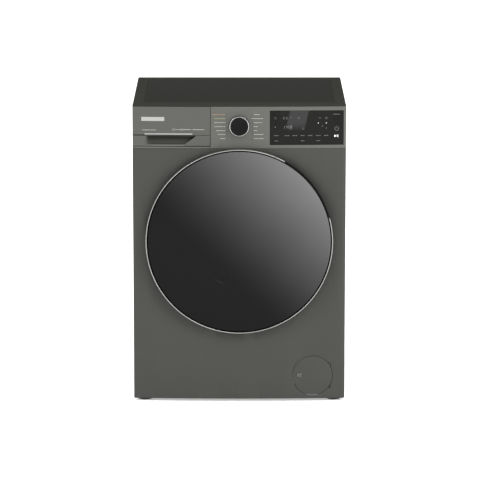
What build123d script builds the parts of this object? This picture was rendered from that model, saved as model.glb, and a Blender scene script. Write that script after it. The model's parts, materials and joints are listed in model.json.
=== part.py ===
from build123d import *
import os
from math import acos, atan2, cos, radians, sin, sqrt

os.makedirs("parts", exist_ok=True)

# A front load washing machine, in millimetres. X runs to the right, Y to the back and Z up.
# The origin is on the floor, under the middle of the whole machine.

# ---- Cabinet -------------------------------------------------------------------------
width = 598.0
height = 850.0
body_depth = 537.0
front_bow = 9.0
door_proud = 36.0
rear_proud = 8.0
sheet = 1.0
corner_round = 8.0
front_return = 18.0
panel_bottom = 9.0
seam = 0.6
flange = 15.0
# ---- Lid and control panel -----------------------------------------------------------
lid_height = 24.0
lid_wall = 2.7
lid_setback = 2.5
lid_step = 3.0
fascia_height = 117.8
fascia_wall = 3.0
fascia_return = 17.0
field_depth = 1.2
field_side = 32.0
field_back = 50.0
field_front = 62.0
# ---- Dispenser drawer ----------------------------------------------------------------
drawer_width = 219.2
drawer_border = 6.5
drawer_face_depth = 18.0
shelf_wall = 2.5
tray_side = 16.0
tray_inset = 15.2
tray_drop = 18.0
tray_height = 86.0
tray_wall = 2.0
tray_length = 290.0
tray_chamber = 62.0
strip_side = 34.0
strip_length = 134.5
strip_drop = 82.4
strip_height = 4.4
grip_lip = 4.2
grip_cover = 3.6
grip_depth = 12.6
# ---- Knob and display ----------------------------------------------------------------
knob_drop = 56.8
knob_radius = 25.2
knob_length = 20.0
bezel_radius = 29.4
bezel_length = 11.0
knob_stem = 3.0
display_side = 7.6
display_width = 206.0
display_drop = 14.0
display_height = 96.8
display_glass = 2.0
display_margin = 5.0
# ---- Door ----------------------------------------------------------------------------
ring_over = 0.7
ring_radius = 262.9
ring_width = 3.5
ring_proud = 25.0
ring_height = 12.0
groove = 2.8
crown = 12.0
door_glass_wall = 4.0
frame_plate = 3.2
frame_gap = 8.5
frame_wall = 5.5
frame_back_gap = 4.0
frame_lap = 4.0
grip_from = 29.0
grip_to = 75.0
bowl_gap = 18.0
bowl_taper = 26.0
bowl_depth = 94.0
bowl_wall = 4.0
inner_ring_plate = 3.0
rib_count = 16
# ---- Front panel's dish, hinge and latch ------------------------------------------------
ring_lap = 4.4
dish_depth = 14.0
opening_seat = 64.0
hinge_inset = 12.9
hinge_radius = 5.0
hinge_pin = 3.0
hinge_half = 22.0
hinge_ear = 12.0
latch_angle = 52.0
hook_inset = 27.0
hook_width = 6.0
hook_thickness = 5.0
hook_pin = 1.5
hook_reach = 19.0
hook_nose = 6.0
pivot_inset = 14.0
handle_lug_out = 74.0
pivot_pin = 1.95
lock_size = 38.0
lock_span = 44.0
bezel_reach = 46.0
bezel_span = 54.0
bezel_plate = 2.0
mouth_reach = 31.0
mouth_span = 18.0
mouth_depth = 25.0
# ---- Tub and drum ---------------------------------------------------------------------
tub_room = 41.0
drum_sheet = 1.0
drum_nose = 4.0
drum_gap = 25.0
drum_tail = 26.0
tub_gap = 12.0
tub_wall = 3.5
tub_setback = 73.0
tub_tail = 71.0
tub_split_lead = 2.0
mouth_gap = 6.5
tub_lug = 9.0
tub_lug_count = 6
hub_radius = 38.0
hub_tail = 43.0
shaft_radius = 15.0
bearing_radius = 31.0
bearing_length = 16.0
lifter_count = 3
lifter_height = 44.0
spider_arm = 34.0
gasket_swell = 18.0
lip_squeeze = 1.6
heater_half = 26.0
heater_rod = 3.5
sump_x = 70.0
sump_setback = 24.0
sump_radius = 15.7
# ---- Belt drive -----------------------------------------------------------------------
pulley_radius = 140.0
pulley_tail = 37.0
pulley_width = 20.0
belt_thickness = 3.0
belt_width = 14.0
motor_x = -95.0
motor_drop = 63.0
motor_pulley_radius = 11.0
motor_radius = 52.0
motor_shaft = 6.0
motor_length = 152.0
motor_overhang = 6.0
# ---- Weights, springs and dampers -----------------------------------------------------
weight_gap = 35.0
weight_width = 265.0
weight_setback = 82.0
weight_length = 160.0
weight_room = 12.0
weight_foot = 150.0
weight_edge = 4.0
weight_bore = 26.0
weight_thick = 48.0
spring_inset = 8.0
spring_gap = 48.5
spring_radius = 11.0
spring_drop = 54.0
spring_rise = 143.0
damper_lead = 40.0
damper_low_inset = 43.0
damper_low_z = 34.0
damper_top_inset = 93.0
damper_radius = 14.0
damper_rod = 5.0
damper_eye = 8.0
# ---- Running gaps ---------------------------------------------------------------------
bar_sides = 12
hose_sides = 8
running = 0.05
flat_fit = 0.1
clear = 0.3
loose = 0.5
# ---- Filter, pump and hatch -----------------------------------------------------------
hatch_side = 91.7
hatch_z = 75.7
hatch_radius = 56.5
hatch_gap = 0.8
hatch_wall = 2.5
hatch_axis_reach = 47.7
filter_radius = 27.0
filter_wall = 3.0
filter_length = 120.0
# ---- Feet -----------------------------------------------------------------------------
foot_side = 31.0
foot_setback = 38.0
foot_tail = 37.0
foot_radius = 21.0
foot_height = 8.0
foot_rod = 5.0
foot_rod_top = 52.0
base_z = 15.0

# ---- Back panel, water valve, gland and outlet ------------------------------------------
service_half = 174.0
cover_rim = 14.0
cover_round = 24.0
valve_reach = 93.0
valve_drop = 38.0
valve_thread = 13.2
valve_hose = 6.0
drain_side = 51.0
drain_rise = 16.3
drain_radius = 11.5
drain_collar = 15.0
gland_side = 63.0
gland_drop = 78.0
gland_radius = 9.0
pan_height = 30.0
pan_wall = 1.5
fill_reach = 133.0
fill_lead = 6.5
fill_radius = 14.0
spigot_room = 42.0
board_side = 4.4
board_edge = 4.6
board_foot = 4.8
board_head = 2.0

half = width / 2
depth = rear_proud + body_depth + front_bow + door_proud
bow_radius = (half**2 + front_bow**2) / (2 * front_bow)

# Levels, from the floor
fascia_top = height - lid_step
fascia_bottom = fascia_top - fascia_height
lid_bottom = height - lid_height
door_z = fascia_bottom + ring_over - ring_radius
tub_radius = half - tub_room
drawer_bottom = fascia_bottom + drawer_border
face_bottom = drawer_bottom + loose
face_top = fascia_top - 0.4
tray_top = height - tray_drop
tray_bottom = tray_top - tray_height
fill_top = tray_bottom - 4.0
strip_bottom = height - strip_drop
strip_top = strip_bottom + strip_height
grip_bottom = face_bottom + grip_lip
grip_top = strip_bottom - grip_cover
knob_z = height - knob_drop
display_top = height - display_drop
display_bottom = display_top - display_height
board_bottom = display_bottom + board_foot
board_top = display_top - board_head
valve_z = tray_top - valve_drop
gland_z = height - gland_drop
spring_high = height - spring_drop
spring_low = door_z + spring_rise
service_low = door_z - service_half
service_high = door_z + service_half
tub_spigot_top = tray_bottom - spigot_room
weight_top = lid_bottom - weight_room
motor_z = door_z - tub_radius - motor_drop
drain_z = hatch_z + drain_rise
damper_top_z = door_z - tub_radius + 26

# Radii round the door's axis
glass_radius = ring_radius - ring_width - groove
dish_radius = ring_radius - ring_lap
frame_back_radius = dish_radius - frame_gap
opening_radius = frame_back_radius - opening_seat
frame_inner_radius = opening_radius - frame_lap
handle_pivot_radius = frame_back_radius - pivot_inset
hook_radius = frame_back_radius - hook_inset
lock_radius = hook_radius + 1.0
bowl_flange = opening_radius
bowl_radius = opening_radius - bowl_gap
bowl_end_radius = bowl_radius - bowl_taper
lip_radius = bowl_radius - lip_squeeze
gasket_bulge = opening_radius + gasket_swell
drum_mouth = opening_radius - frame_lap
tub_mouth = opening_radius + mouth_gap
drum_radius = tub_radius - tub_gap
weight_outer = tub_radius - weight_edge
weight_inner = opening_radius + weight_bore
heater_z = door_z - (drum_radius + tub_radius) / 2 + 1.5
sump_top = door_z - tub_radius - 38

# Depths, from the middle
y_panel = door_proud - depth / 2
y_corner = y_panel + front_bow
y_back = y_corner + body_depth
y_return = y_corner + front_return
face_y = y_corner + fascia_return
y_dish = y_panel + dish_depth
y_ring = y_panel - ring_proud
y_crown = y_panel - door_proud
y_glass_edge = y_crown + crown
y_plate = y_glass_edge + door_glass_wall + clear
y_plate_back = y_plate + frame_plate
y_frame_back = y_panel + frame_back_gap
y_cover_back = y_frame_back - 1.2
y_cover = y_cover_back - inner_ring_plate
hinge_y = y_plate_back + 0.2 + hinge_radius
handle_pivot_y = y_plate_back + 7.5
hook_pivot_y = y_plate_back + 9.5
shelf_y = y_panel + drawer_face_depth + 3.5
board_y = y_panel + 20.0
tray_front = shelf_y - 1.0
tray_back = tray_front + tray_length
fill_y = tray_back - fill_lead
spring_y = tray_back + spring_gap
tub_front = y_dish + tub_setback
tub_back = y_back - tub_tail
tub_split = (tub_front + tub_back) / 2 - tub_split_lead
drum_front = tub_front + drum_gap
drum_back = tub_back - drum_tail
hub_back = y_back - hub_tail
pulley_front = y_back - pulley_tail
motor_back = tub_back + motor_overhang
motor_front = motor_back - motor_length
weight_front = tub_front + weight_setback
weight_back = weight_front + weight_length
damper_y = tub_split + damper_lead
sump_y = tub_front + sump_setback
filter_back = y_corner + filter_length
foot_front = y_corner + foot_setback
foot_rear = y_back - foot_tail

# Places across, from the middle
drawer_right = -half + drawer_width
tray_left = -half + tray_side
tray_right = drawer_right - tray_inset
strip_left = -half + strip_side
strip_right = strip_left + strip_length
display_right = half - display_side
display_left = display_right - display_width
board_left = -bezel_radius - board_edge
board_right = display_right - board_side
valve_x = tray_left + valve_reach
fill_x = tray_left + fill_reach
gland_x = half - gland_side
drain_x = half - drain_side
hatch_x = half - hatch_side
hatch_axis_x = hatch_x + hatch_axis_reach
hinge_x = hinge_inset - ring_radius
foot_x = half - foot_side
spring_x = tub_radius - spring_inset
damper_low_x = tub_radius - damper_low_inset
damper_top_x = tub_radius - damper_top_inset
weight_left = tray_right + weight_gap
weight_right = weight_left + weight_width

door_plane = Plane.XY.offset(door_z)
door_axis = Axis((0, 0, door_z), (0, 1, 0))


def bow_y(x, inset=0.0):
    """Depth of the bowed front at x, or of a surface that lies inset behind it."""
    return y_panel + bow_radius - sqrt((bow_radius - inset) ** 2 - x**2)


def upright(y):
    """Plane that faces the front at depth y. Its own x and y run along X and Z."""
    return Plane.XZ.offset(-y)


def outline(points, plane):
    """Closed face of straight edges through the points, on the plane."""
    with BuildSketch(plane) as drawn:
        with BuildLine():
            Polyline(*points, close=True)
        make_face()
    return drawn.sketch


def bowed_plan(left, right, inset, y_end, level, rounding=0.0):
    """Plan face whose front edge follows the bowed front, inset behind it."""
    middle = (left + right) / 2
    with BuildSketch(Plane.XY.offset(level)) as drawn:
        with BuildLine():
            ThreePointArc(
                (left, bow_y(left, inset)), (middle, bow_y(middle, inset)), (right, bow_y(right, inset))
            )
            Polyline((right, bow_y(right, inset)), (right, y_end), (left, y_end), (left, bow_y(left, inset)))
        make_face()
        if rounding:
            fillet(drawn.vertices().group_by(Axis.Y)[0], rounding)
    return drawn.sketch


def bowed_band(left, right, inset, wall, level):
    """Plan face of a wall that follows the bowed front from left to right."""
    middle = (left + right) / 2
    with BuildSketch(Plane.XY.offset(level)) as drawn:
        with BuildLine():
            ThreePointArc(
                (left, bow_y(left, inset)), (middle, bow_y(middle, inset)), (right, bow_y(right, inset))
            )
            Line((right, bow_y(right, inset)), (right, bow_y(right, inset + wall)))
            ThreePointArc(
                (right, bow_y(right, inset + wall)),
                (middle, bow_y(middle, inset + wall)),
                (left, bow_y(left, inset + wall)),
            )
            Line((left, bow_y(left, inset + wall)), (left, bow_y(left, inset)))
        make_face()
    return drawn.sketch


def block(low, high, mode=Mode.ADD):
    """Box between two corners, added to or cut from the part that is open."""
    size = [b - a for a, b in zip(low, high)]
    middle = tuple((a + b) / 2 for a, b in zip(low, high))
    with Locations(middle):
        Box(*size, mode=mode)


def rod(x, z, radius, y_front, y_rear, mode=Mode.ADD):
    """Round bar or hole along Y, in the part that is open."""
    with Locations(Location((x, (y_front + y_rear) / 2, z), (90, 0, 0))):
        Cylinder(radius, y_rear - y_front, mode=mode)


def post(x, y, radius, low, high, mode=Mode.ADD):
    """Round bar or hole along Z, in the part that is open."""
    with Locations((x, y, (low + high) / 2)):
        Cylinder(radius, high - low, mode=mode)


def bar(plane, radius, length, mode=Mode.ADD):
    """Bar or hole of few faces along the plane's normal, for what repeats or lies hidden.

    The radius is that of the circle inside its faces.
    """
    with BuildSketch(plane) as drawn:
        RegularPolygon(radius, bar_sides, major_radius=False)
    extrude(drawn.sketch, amount=length, mode=mode)


def along_y(x, y, z):
    """Plane at a point whose normal runs to the back."""
    return Plane(origin=(x, y, z), x_dir=(1, 0, 0), z_dir=(0, 1, 0))


def radial_plane(angle):
    """Plane through the door's axis, angle degrees clockwise from the top.

    Its x is the radius and its y runs along Y.
    """
    turn = radians(angle)
    return Plane(origin=(0, 0, door_z), x_dir=(sin(turn), 0, cos(turn)), z_dir=(-cos(turn), 0, sin(turn)))


def keep(made, name):
    """Labels a finished piece and writes it."""
    made.part.label = name
    export_step(made.part, f"parts/{name}.step")


# ======================= Cabinet =======================================================
panel_top = fascia_bottom - seam
field_inset = 3.0


def side_panel(side):
    """Folded side sheet with a shallow pressed field. side is -1 on the left, 1 on the right."""
    front = y_return + seam
    top = lid_bottom - seam
    with BuildPart() as made:
        for low, high in (
            ((half - sheet, front, panel_bottom), (half, y_back, top)),
            ((half - flange, y_back - 2 * sheet, panel_bottom), (half - sheet, y_back - sheet, top)),
            ((half - flange, front, panel_bottom), (half - sheet, front + sheet, panel_top)),
        ):
            xs = sorted((side * low[0], side * high[0]))
            block((xs[0], low[1], low[2]), (xs[1], high[1], high[2]))
        field_low = (front + 70, panel_bottom + 110)
        field_high = (y_back - 70, lid_bottom - 150)
        backing = sorted((side * (half - field_inset - sheet), side * (half - sheet / 2)))
        pocket = sorted((side * (half - field_inset), side * (half + sheet)))
        block((backing[0], field_low[0], field_low[1]), (backing[1], field_high[0], field_high[1]))
        block(
            (pocket[0], field_low[0] + sheet, field_low[1] + sheet),
            (pocket[1], field_high[0] - sheet, field_high[1] - sheet),
            Mode.SUBTRACT,
        )
        arm = sorted((side * (spring_x - 9), side * (half - sheet / 2)))
        block((arm[0], spring_y - 14, spring_high), (arm[1], spring_y + 14, spring_high + 4))
    return made


keep(side_panel(-1), "side_panel_left")
keep(side_panel(1), "side_panel_right")

hatch_axis_y = bow_y(hatch_axis_x, sheet) + 1.7
hatch_opening = hatch_radius + hatch_gap
lug_low = sqrt(hatch_opening**2 - (hatch_axis_x - hatch_x) ** 2) + 2.5
hatch_peg = 1.2

with BuildPart() as front_panel:
    extrude(bowed_plan(-half, half, 0, y_return, panel_bottom, corner_round), amount=panel_top - panel_bottom)
    extrude(
        bowed_plan(-half + sheet, half - sheet, sheet, y_return + 1, panel_bottom, corner_round - sheet),
        amount=panel_top - panel_bottom,
        mode=Mode.SUBTRACT,
    )
    rod(0, door_z, dish_radius - sheet / 2, y_panel - 1, y_dish, Mode.SUBTRACT)
    revolve(
        outline(
            [
                (dish_radius, y_panel - 1),
                (dish_radius, y_dish + sheet),
                (opening_radius, y_dish + sheet),
                (opening_radius, y_dish),
                (dish_radius - sheet, y_dish),
                (dish_radius - sheet, y_panel - 1),
            ],
            door_plane,
        ),
        axis=door_axis,
    )
    extrude(
        bowed_plan(-half, half, 0, y_panel - 2, panel_bottom),
        amount=panel_top - panel_bottom,
        mode=Mode.SUBTRACT,
    )
    with Locations(radial_plane(latch_angle).location):
        with Locations((lock_radius, y_dish, 0)):
            Box(bezel_reach, 6, bezel_span, mode=Mode.SUBTRACT)
    rod(hatch_x, hatch_z, hatch_opening, y_panel - 1, y_corner + 4, Mode.SUBTRACT)
    for side in (-1, 1):
        near, far = sorted((hatch_z + side * (lug_low - 8.5), hatch_z + side * (lug_low + 1.9)))
        block(
            (hatch_axis_x - 3.3, y_panel - 1, near),
            (hatch_axis_x + 3.6, hatch_axis_y, far),
            Mode.SUBTRACT,
        )
        near, far = sorted((hatch_z + side * (lug_low + 2), hatch_z + side * (lug_low + 7)))
        block(
            (hatch_axis_x - 1.9, bow_y(hatch_axis_x, sheet) - 0.3, near),
            (hatch_axis_x + 4, hatch_axis_y + 4, far),
        )
    bar(Plane((hatch_axis_x, hatch_axis_y, hatch_z - 45)), hatch_peg + flat_fit, 90, Mode.SUBTRACT)
keep(front_panel, "front_panel")

with BuildPart() as rear_panel:
    side_x = half - sheet - clear
    block((-side_x, y_back - sheet, panel_bottom), (side_x, y_back, lid_bottom - seam))
    block((-service_half, y_back - 5, service_low), (service_half, y_back + 5, service_high), Mode.SUBTRACT)
    rod(valve_x, valve_z, valve_thread + 4, y_back - 5, y_back + 5, Mode.SUBTRACT)
    bar(along_y(drain_x, y_back - 5, drain_z), drain_radius + clear, 10, Mode.SUBTRACT)
    bar(along_y(gland_x, y_back - 5, gland_z), gland_radius + clear, 10, Mode.SUBTRACT)
keep(rear_panel, "rear_panel")

with BuildPart() as rear_cover:
    cover_plane = Plane(
        origin=(0, y_back, (service_low + service_high) / 2), x_dir=(-1, 0, 0), z_dir=(0, 1, 0)
    )
    cover_width = 2 * service_half
    cover_height = service_high - service_low
    with BuildSketch(cover_plane):
        RectangleRounded(cover_width + 2 * cover_rim, cover_height + 2 * cover_rim, cover_round)
    extrude(amount=sheet)
    with BuildSketch(cover_plane):
        RectangleRounded(cover_width, cover_height, cover_round)
    extrude(amount=rear_proud, taper=30)
    with BuildSketch(cover_plane):
        Rectangle(cover_width - 2 * rear_proud, cover_height - 2 * rear_proud)
    extrude(amount=rear_proud - sheet, mode=Mode.SUBTRACT)
keep(rear_cover, "rear_cover")

feet = {
    "foot_front_left": (-foot_x, foot_front),
    "foot_front_right": (foot_x, foot_front),
    "foot_rear_left": (-foot_x, foot_rear),
    "foot_rear_right": (foot_x, foot_rear),
}
with BuildPart() as base_pan:
    pan_x = half - sheet - clear
    pan_front = y_return + seam + sheet + clear
    pan_back = y_back - 2 * sheet - clear
    block((-pan_x, pan_front, base_z), (pan_x, pan_back, base_z + pan_height))
    block(
        (-pan_x + pan_wall, pan_front + pan_wall, base_z + pan_wall),
        (pan_x - pan_wall, pan_back - pan_wall, base_z + pan_height + 1),
        Mode.SUBTRACT,
    )
    for x, y in feet.values():
        block(
            (x - 24 if x > 0 else -pan_x, max(y - 24, pan_front), base_z),
            (pan_x if x > 0 else x + 24, min(y + 24, pan_back), foot_rod_top - 6),
        )
        bar(Plane((x, y, base_z - 1)), foot_rod + running, foot_rod_top, Mode.SUBTRACT)
keep(base_pan, "base_pan")

for name, (x, y) in feet.items():
    with BuildPart() as foot:
        with BuildSketch():
            with Locations((x, y)):
                RegularPolygon(foot_radius, bar_sides)
        extrude(amount=foot_height)
        bar(Plane((x, y, foot_height - 1)), foot_rod, foot_rod_top - foot_height + 1)
    keep(foot, name)

with BuildPart() as top_lid:
    extrude(bowed_plan(-half, half, lid_setback, y_back, lid_bottom, 5), amount=lid_height)
    chamfer(top_lid.faces().sort_by(Axis.Z)[-1].edges(), 1.6)
    extrude(
        bowed_plan(-half + lid_wall, half - lid_wall, lid_setback + lid_wall, y_back - lid_wall, lid_bottom),
        amount=lid_height - lid_wall,
        mode=Mode.SUBTRACT,
    )
    block((-half - 1, y_panel - 1, lid_bottom - 1), (half + 1, face_y + 1, height - lid_wall), Mode.SUBTRACT)
    with BuildSketch(Plane.XY.offset(height - field_depth)):
        field = y_back - field_back - (y_corner + field_front)
        with Locations((0, y_back - field_back - field / 2)):
            RectangleRounded(width - 2 * field_side, field, 14)
    extrude(amount=field_depth + 1, mode=Mode.SUBTRACT)
keep(top_lid, "top_lid")

with BuildPart() as front_brace:
    brace_x = half - sheet - clear
    brace_y = y_dish + sheet + 2
    brace_back = y_return + seam - clear
    block((-brace_x, brace_y, panel_top - 26), (brace_x, brace_back, panel_top))
    block(
        (-brace_x - 1, brace_y + 1.5, panel_top - 27),
        (brace_x + 1, brace_back - 1.5, panel_top - 1.5),
        Mode.SUBTRACT,
    )
keep(front_brace, "front_brace")

# ======================= Control panel =================================================
with BuildPart() as control_panel:
    extrude(bowed_plan(-half, half, 0, face_y, fascia_bottom, corner_round), amount=fascia_height)
    extrude(
        bowed_plan(-half + fascia_wall, half - fascia_wall, fascia_wall, face_y + 1, fascia_bottom, 5),
        amount=fascia_height,
        mode=Mode.SUBTRACT,
    )
    inner_left = -half + fascia_wall - 1
    inner_right = half - fascia_wall + 1
    extrude(bowed_band(inner_left, inner_right, 1, 11, fascia_bottom), amount=2.5)
    extrude(bowed_band(drawer_right, inner_right, 1, 4, fascia_top - 2.5), amount=2.5)
    block(
        (-half - 1, y_panel - 1, drawer_bottom),
        (drawer_right, shelf_y, fascia_top + 1),
        Mode.SUBTRACT,
    )
    shelf_right = drawer_right + shelf_wall
    block((-half + 1, shelf_y, fascia_bottom + 1), (shelf_right, shelf_y + shelf_wall, fascia_top))
    extrude(bowed_plan(-half + 1, shelf_right, 2, shelf_y + 1, drawer_bottom - shelf_wall), amount=shelf_wall)
    extrude(
        bowed_plan(drawer_right, shelf_right, 2, shelf_y + 1, fascia_bottom + 1),
        amount=fascia_height - 1,
    )
    block(
        (tray_left - loose, shelf_y - 1, tray_bottom - loose),
        (tray_right + loose, shelf_y + 4, tray_top + loose),
        Mode.SUBTRACT,
    )
    window_left = display_left - clear
    window_right = display_right + clear
    extrude(
        bowed_band(window_left, window_right, -1, 1 + display_glass + clear, display_bottom - clear),
        amount=display_height + 2 * clear,
        mode=Mode.SUBTRACT,
    )
    block(
        (display_left + display_margin, y_panel - 1, display_bottom + display_margin),
        (display_right - display_margin, face_y, display_top - display_margin),
        Mode.SUBTRACT,
    )
    bar(along_y(0, y_panel - 1, knob_z), knob_stem + 1, 6, Mode.SUBTRACT)
    for x in (board_left + 8, display_left - 16, board_right - 0.5):
        for z in (board_bottom + 4, board_top - 4):
            block((x - 2.5, bow_y(x) + display_glass + 0.8, z - 3), (x + 2.5, board_y - clear, z + 3))
keep(control_panel, "control_panel")

with BuildPart() as display_window:
    extrude(
        bowed_band(display_left, display_right, 0, display_glass, display_bottom),
        amount=display_height,
    )
keep(display_window, "display_window")

with BuildPart() as display_board:
    block((board_left, board_y, board_bottom), (board_right, board_y + 1.6, board_top))
    block(
        (display_left + 8, board_y - 8, display_bottom + 8),
        (display_right - 8, board_y, display_top - 8),
    )
    block((-8, board_y - 9, knob_z - 8), (8, board_y, knob_z + 8))
    bar(along_y(0, board_y - 10, knob_z), knob_stem + loose, 8, Mode.SUBTRACT)
    chip_y = board_y + 1.6
    chip_z = board_bottom + 12
    for along, tall in ((54, 12), (94, 9), (144, 14), (184, 6), (249, 10), (284, 8)):
        chip_x = board_left + along
        block((chip_x, chip_y, chip_z), (chip_x + 22, chip_y + tall, chip_z + 3 * tall))
keep(display_board, "display_board")

knob_axis = Axis((0, 0, knob_z), (0, 1, 0))
knob_plane = Plane.XY.offset(knob_z)
y_bezel = y_panel - bezel_length
with BuildPart() as knob_cap:
    revolve(
        outline(
            [
                (0, y_panel - knob_length),
                (knob_radius - 1.5, y_panel - knob_length),
                (knob_radius, y_panel - knob_length + 1.5),
                (knob_radius, y_bezel),
                (0, y_bezel),
            ],
            knob_plane,
        ),
        axis=knob_axis,
    )
    bar(along_y(0, y_bezel - 1, knob_z), knob_stem, board_y - 2 - y_bezel)
keep(knob_cap, "knob_cap")

with BuildPart() as knob_bezel:
    revolve(
        outline(
            [
                (0, y_bezel),
                (bezel_radius - 2.5, y_bezel),
                (bezel_radius, y_bezel + 4),
                (bezel_radius, y_panel - loose),
                (0, y_panel - loose),
            ],
            knob_plane,
        ),
        axis=knob_axis,
    )
    bar(along_y(0, y_bezel - 1, knob_z), knob_stem + clear, bezel_length + 2, Mode.SUBTRACT)
keep(knob_bezel, "knob_bezel")

# ======================= Dispenser drawer ==============================================
face_left = -half + 0.5
face_right = drawer_right - loose
grip_slant = grip_top - grip_bottom + 9


def grip_outline(side=0.0, over=0.0, under=0.0):
    """Corners of the grip's cut-out, grown by side at both ends, by over above and under below."""
    left = strip_left + 2 - side
    right = strip_right + 10 + side
    return [
        (left, grip_top + over),
        (right, grip_top + over),
        (right - grip_slant, grip_bottom - under),
        (left + 14, grip_bottom - under),
    ]


with BuildPart() as drawer_front:
    extrude(
        bowed_plan(face_left, face_right, 0, tray_front - clear, face_bottom, 3),
        amount=face_top - face_bottom,
    )
    extrude(
        bowed_plan(face_left + 3, face_right - 3, 3, tray_front, face_bottom + 3),
        amount=face_top - face_bottom - 6,
        mode=Mode.SUBTRACT,
    )
    block(
        (face_left + 1, tray_front - 3, face_bottom + 1),
        (face_right - 1, tray_front - clear, face_top - 1),
    )
    extrude(outline(grip_outline(), upright(shelf_y)), amount=60, mode=Mode.SUBTRACT)
    block(
        (strip_left, y_panel - 1, strip_bottom),
        (strip_right, bow_y(strip_left) + 1.2, strip_top),
        Mode.SUBTRACT,
    )
    block(
        (strip_left - 3, tray_front - 3.5, grip_bottom - 2.4),
        (strip_right + 14, tray_front, strip_top + 5),
        Mode.SUBTRACT,
    )
keep(drawer_front, "drawer_front")

with BuildPart() as drawer_strip:
    extrude(
        bowed_band(strip_left + 0.2, strip_right - 0.2, 0.1, 0.9, strip_bottom + 0.2),
        amount=strip_height - 0.4,
    )
keep(drawer_strip, "drawer_strip")

with BuildPart() as drawer_grip:
    grip_back = bow_y(strip_left) + grip_depth
    grip_front = bow_y(strip_left) + 3.6
    extrude(outline(grip_outline(2.5, 11, 1), upright(grip_back)), amount=grip_back - grip_front)
    extrude(outline(grip_outline(over=8.5), upright(grip_back - 2)), amount=grip_depth, mode=Mode.SUBTRACT)
keep(drawer_grip, "drawer_grip")

with BuildPart() as drawer_tray:
    block((tray_left, tray_front, tray_bottom), (tray_right, tray_back, tray_top))
    chamber = tray_left + tray_wall
    for right in (chamber + tray_chamber - 3, chamber + 2 * tray_chamber - 1, tray_right - tray_wall):
        block(
            (chamber, tray_front + tray_wall, tray_bottom + tray_wall),
            (right, tray_back - tray_wall, tray_top + 1),
            Mode.SUBTRACT,
        )
        chamber = right + tray_wall + 1
    block(
        (tray_left + 4, tray_back - 80, tray_top - 26),
        (tray_right - 4, tray_back + 1, tray_top + 1),
        Mode.SUBTRACT,
    )
keep(drawer_tray, "drawer_tray")

with BuildPart() as dispenser_housing:
    room = 1.5
    shell_wall = 2.5
    shell_back = tray_back + 12
    low = (tray_left - room, shelf_y + 2.5 + clear, tray_bottom - room)
    high = (tray_right + room, shell_back - shell_wall, tray_top + room)
    block(
        (low[0] - shell_wall, low[1], low[2] - shell_wall),
        (high[0] + shell_wall, shell_back, high[2] + shell_wall),
    )
    block((low[0], low[1] - 1, low[2]), high, Mode.SUBTRACT)
    for x in (tray_left + 14, tray_right - 22):
        block((x, low[1], low[2] - 1), (x + 8, shell_back - 1, tray_bottom - clear))
    bar(Plane((fill_x, fill_y, fill_top - 22)), fill_radius, 22)
    bar(along_y(valve_x, shell_back - 1, valve_z), valve_hose, 19)
keep(dispenser_housing, "dispenser_housing")

with BuildPart() as dispenser_hose:
    hose_low = tub_spigot_top - 9
    bar(Plane((fill_x, fill_y, hose_low)), fill_radius + 2.8, fill_top - 4 - hose_low)
    bar(Plane((fill_x, fill_y, hose_low)), fill_radius + clear, fill_top - hose_low, Mode.SUBTRACT)
keep(dispenser_hose, "dispenser_hose")

with BuildPart() as inlet_valve:
    rod(valve_x, valve_z, valve_thread, y_back - 18, y_back + rear_proud)
    bar(along_y(valve_x, y_back - 20, valve_z), valve_thread + 5, 20 - sheet - clear)
    block((valve_x - 15, y_back - 50, valve_z - 16), (valve_x + 15, y_back - 19, valve_z + 14))
    block((valve_x - 11, y_back - 45, valve_z + 13), (valve_x + 11, y_back - 23, valve_z + 27))
    bar(along_y(valve_x, y_back - 70, valve_z), valve_hose, 21)
    bar(along_y(valve_x, y_back - 6, valve_z), valve_thread - 4, rear_proud + 7, Mode.SUBTRACT)
keep(inlet_valve, "inlet_valve")

with BuildPart() as inlet_hose:
    hose_length = y_back - 51 - shell_back - clear
    bar(along_y(valve_x, shell_back + clear, valve_z), valve_hose + 2.6, hose_length)
    bar(along_y(valve_x, shell_back + clear, valve_z), valve_hose + clear, hose_length, Mode.SUBTRACT)
keep(inlet_hose, "inlet_hose")

# ======================= Door ==========================================================
def crown_y(radius, back=0.0):
    """Depth of the domed glass at a radius, or of a surface that lies back behind it."""
    dome = (glass_radius**2 + crown**2) / (2 * crown)
    return y_crown + back + dome - sqrt(dome**2 - radius**2)


def pivot_plane(radius, y, out):
    """Plane across the latch's axis, out from its middle, with the pivot at its origin."""
    base = radial_plane(latch_angle)
    return Plane(origin=base.from_local_coords((radius, y, -out)), x_dir=base.x_dir, z_dir=base.z_dir)


hinge_room = hinge_half + hinge_ear + 12.0
ring_inner = ring_radius - ring_width
grip_gap = 0.6

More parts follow.
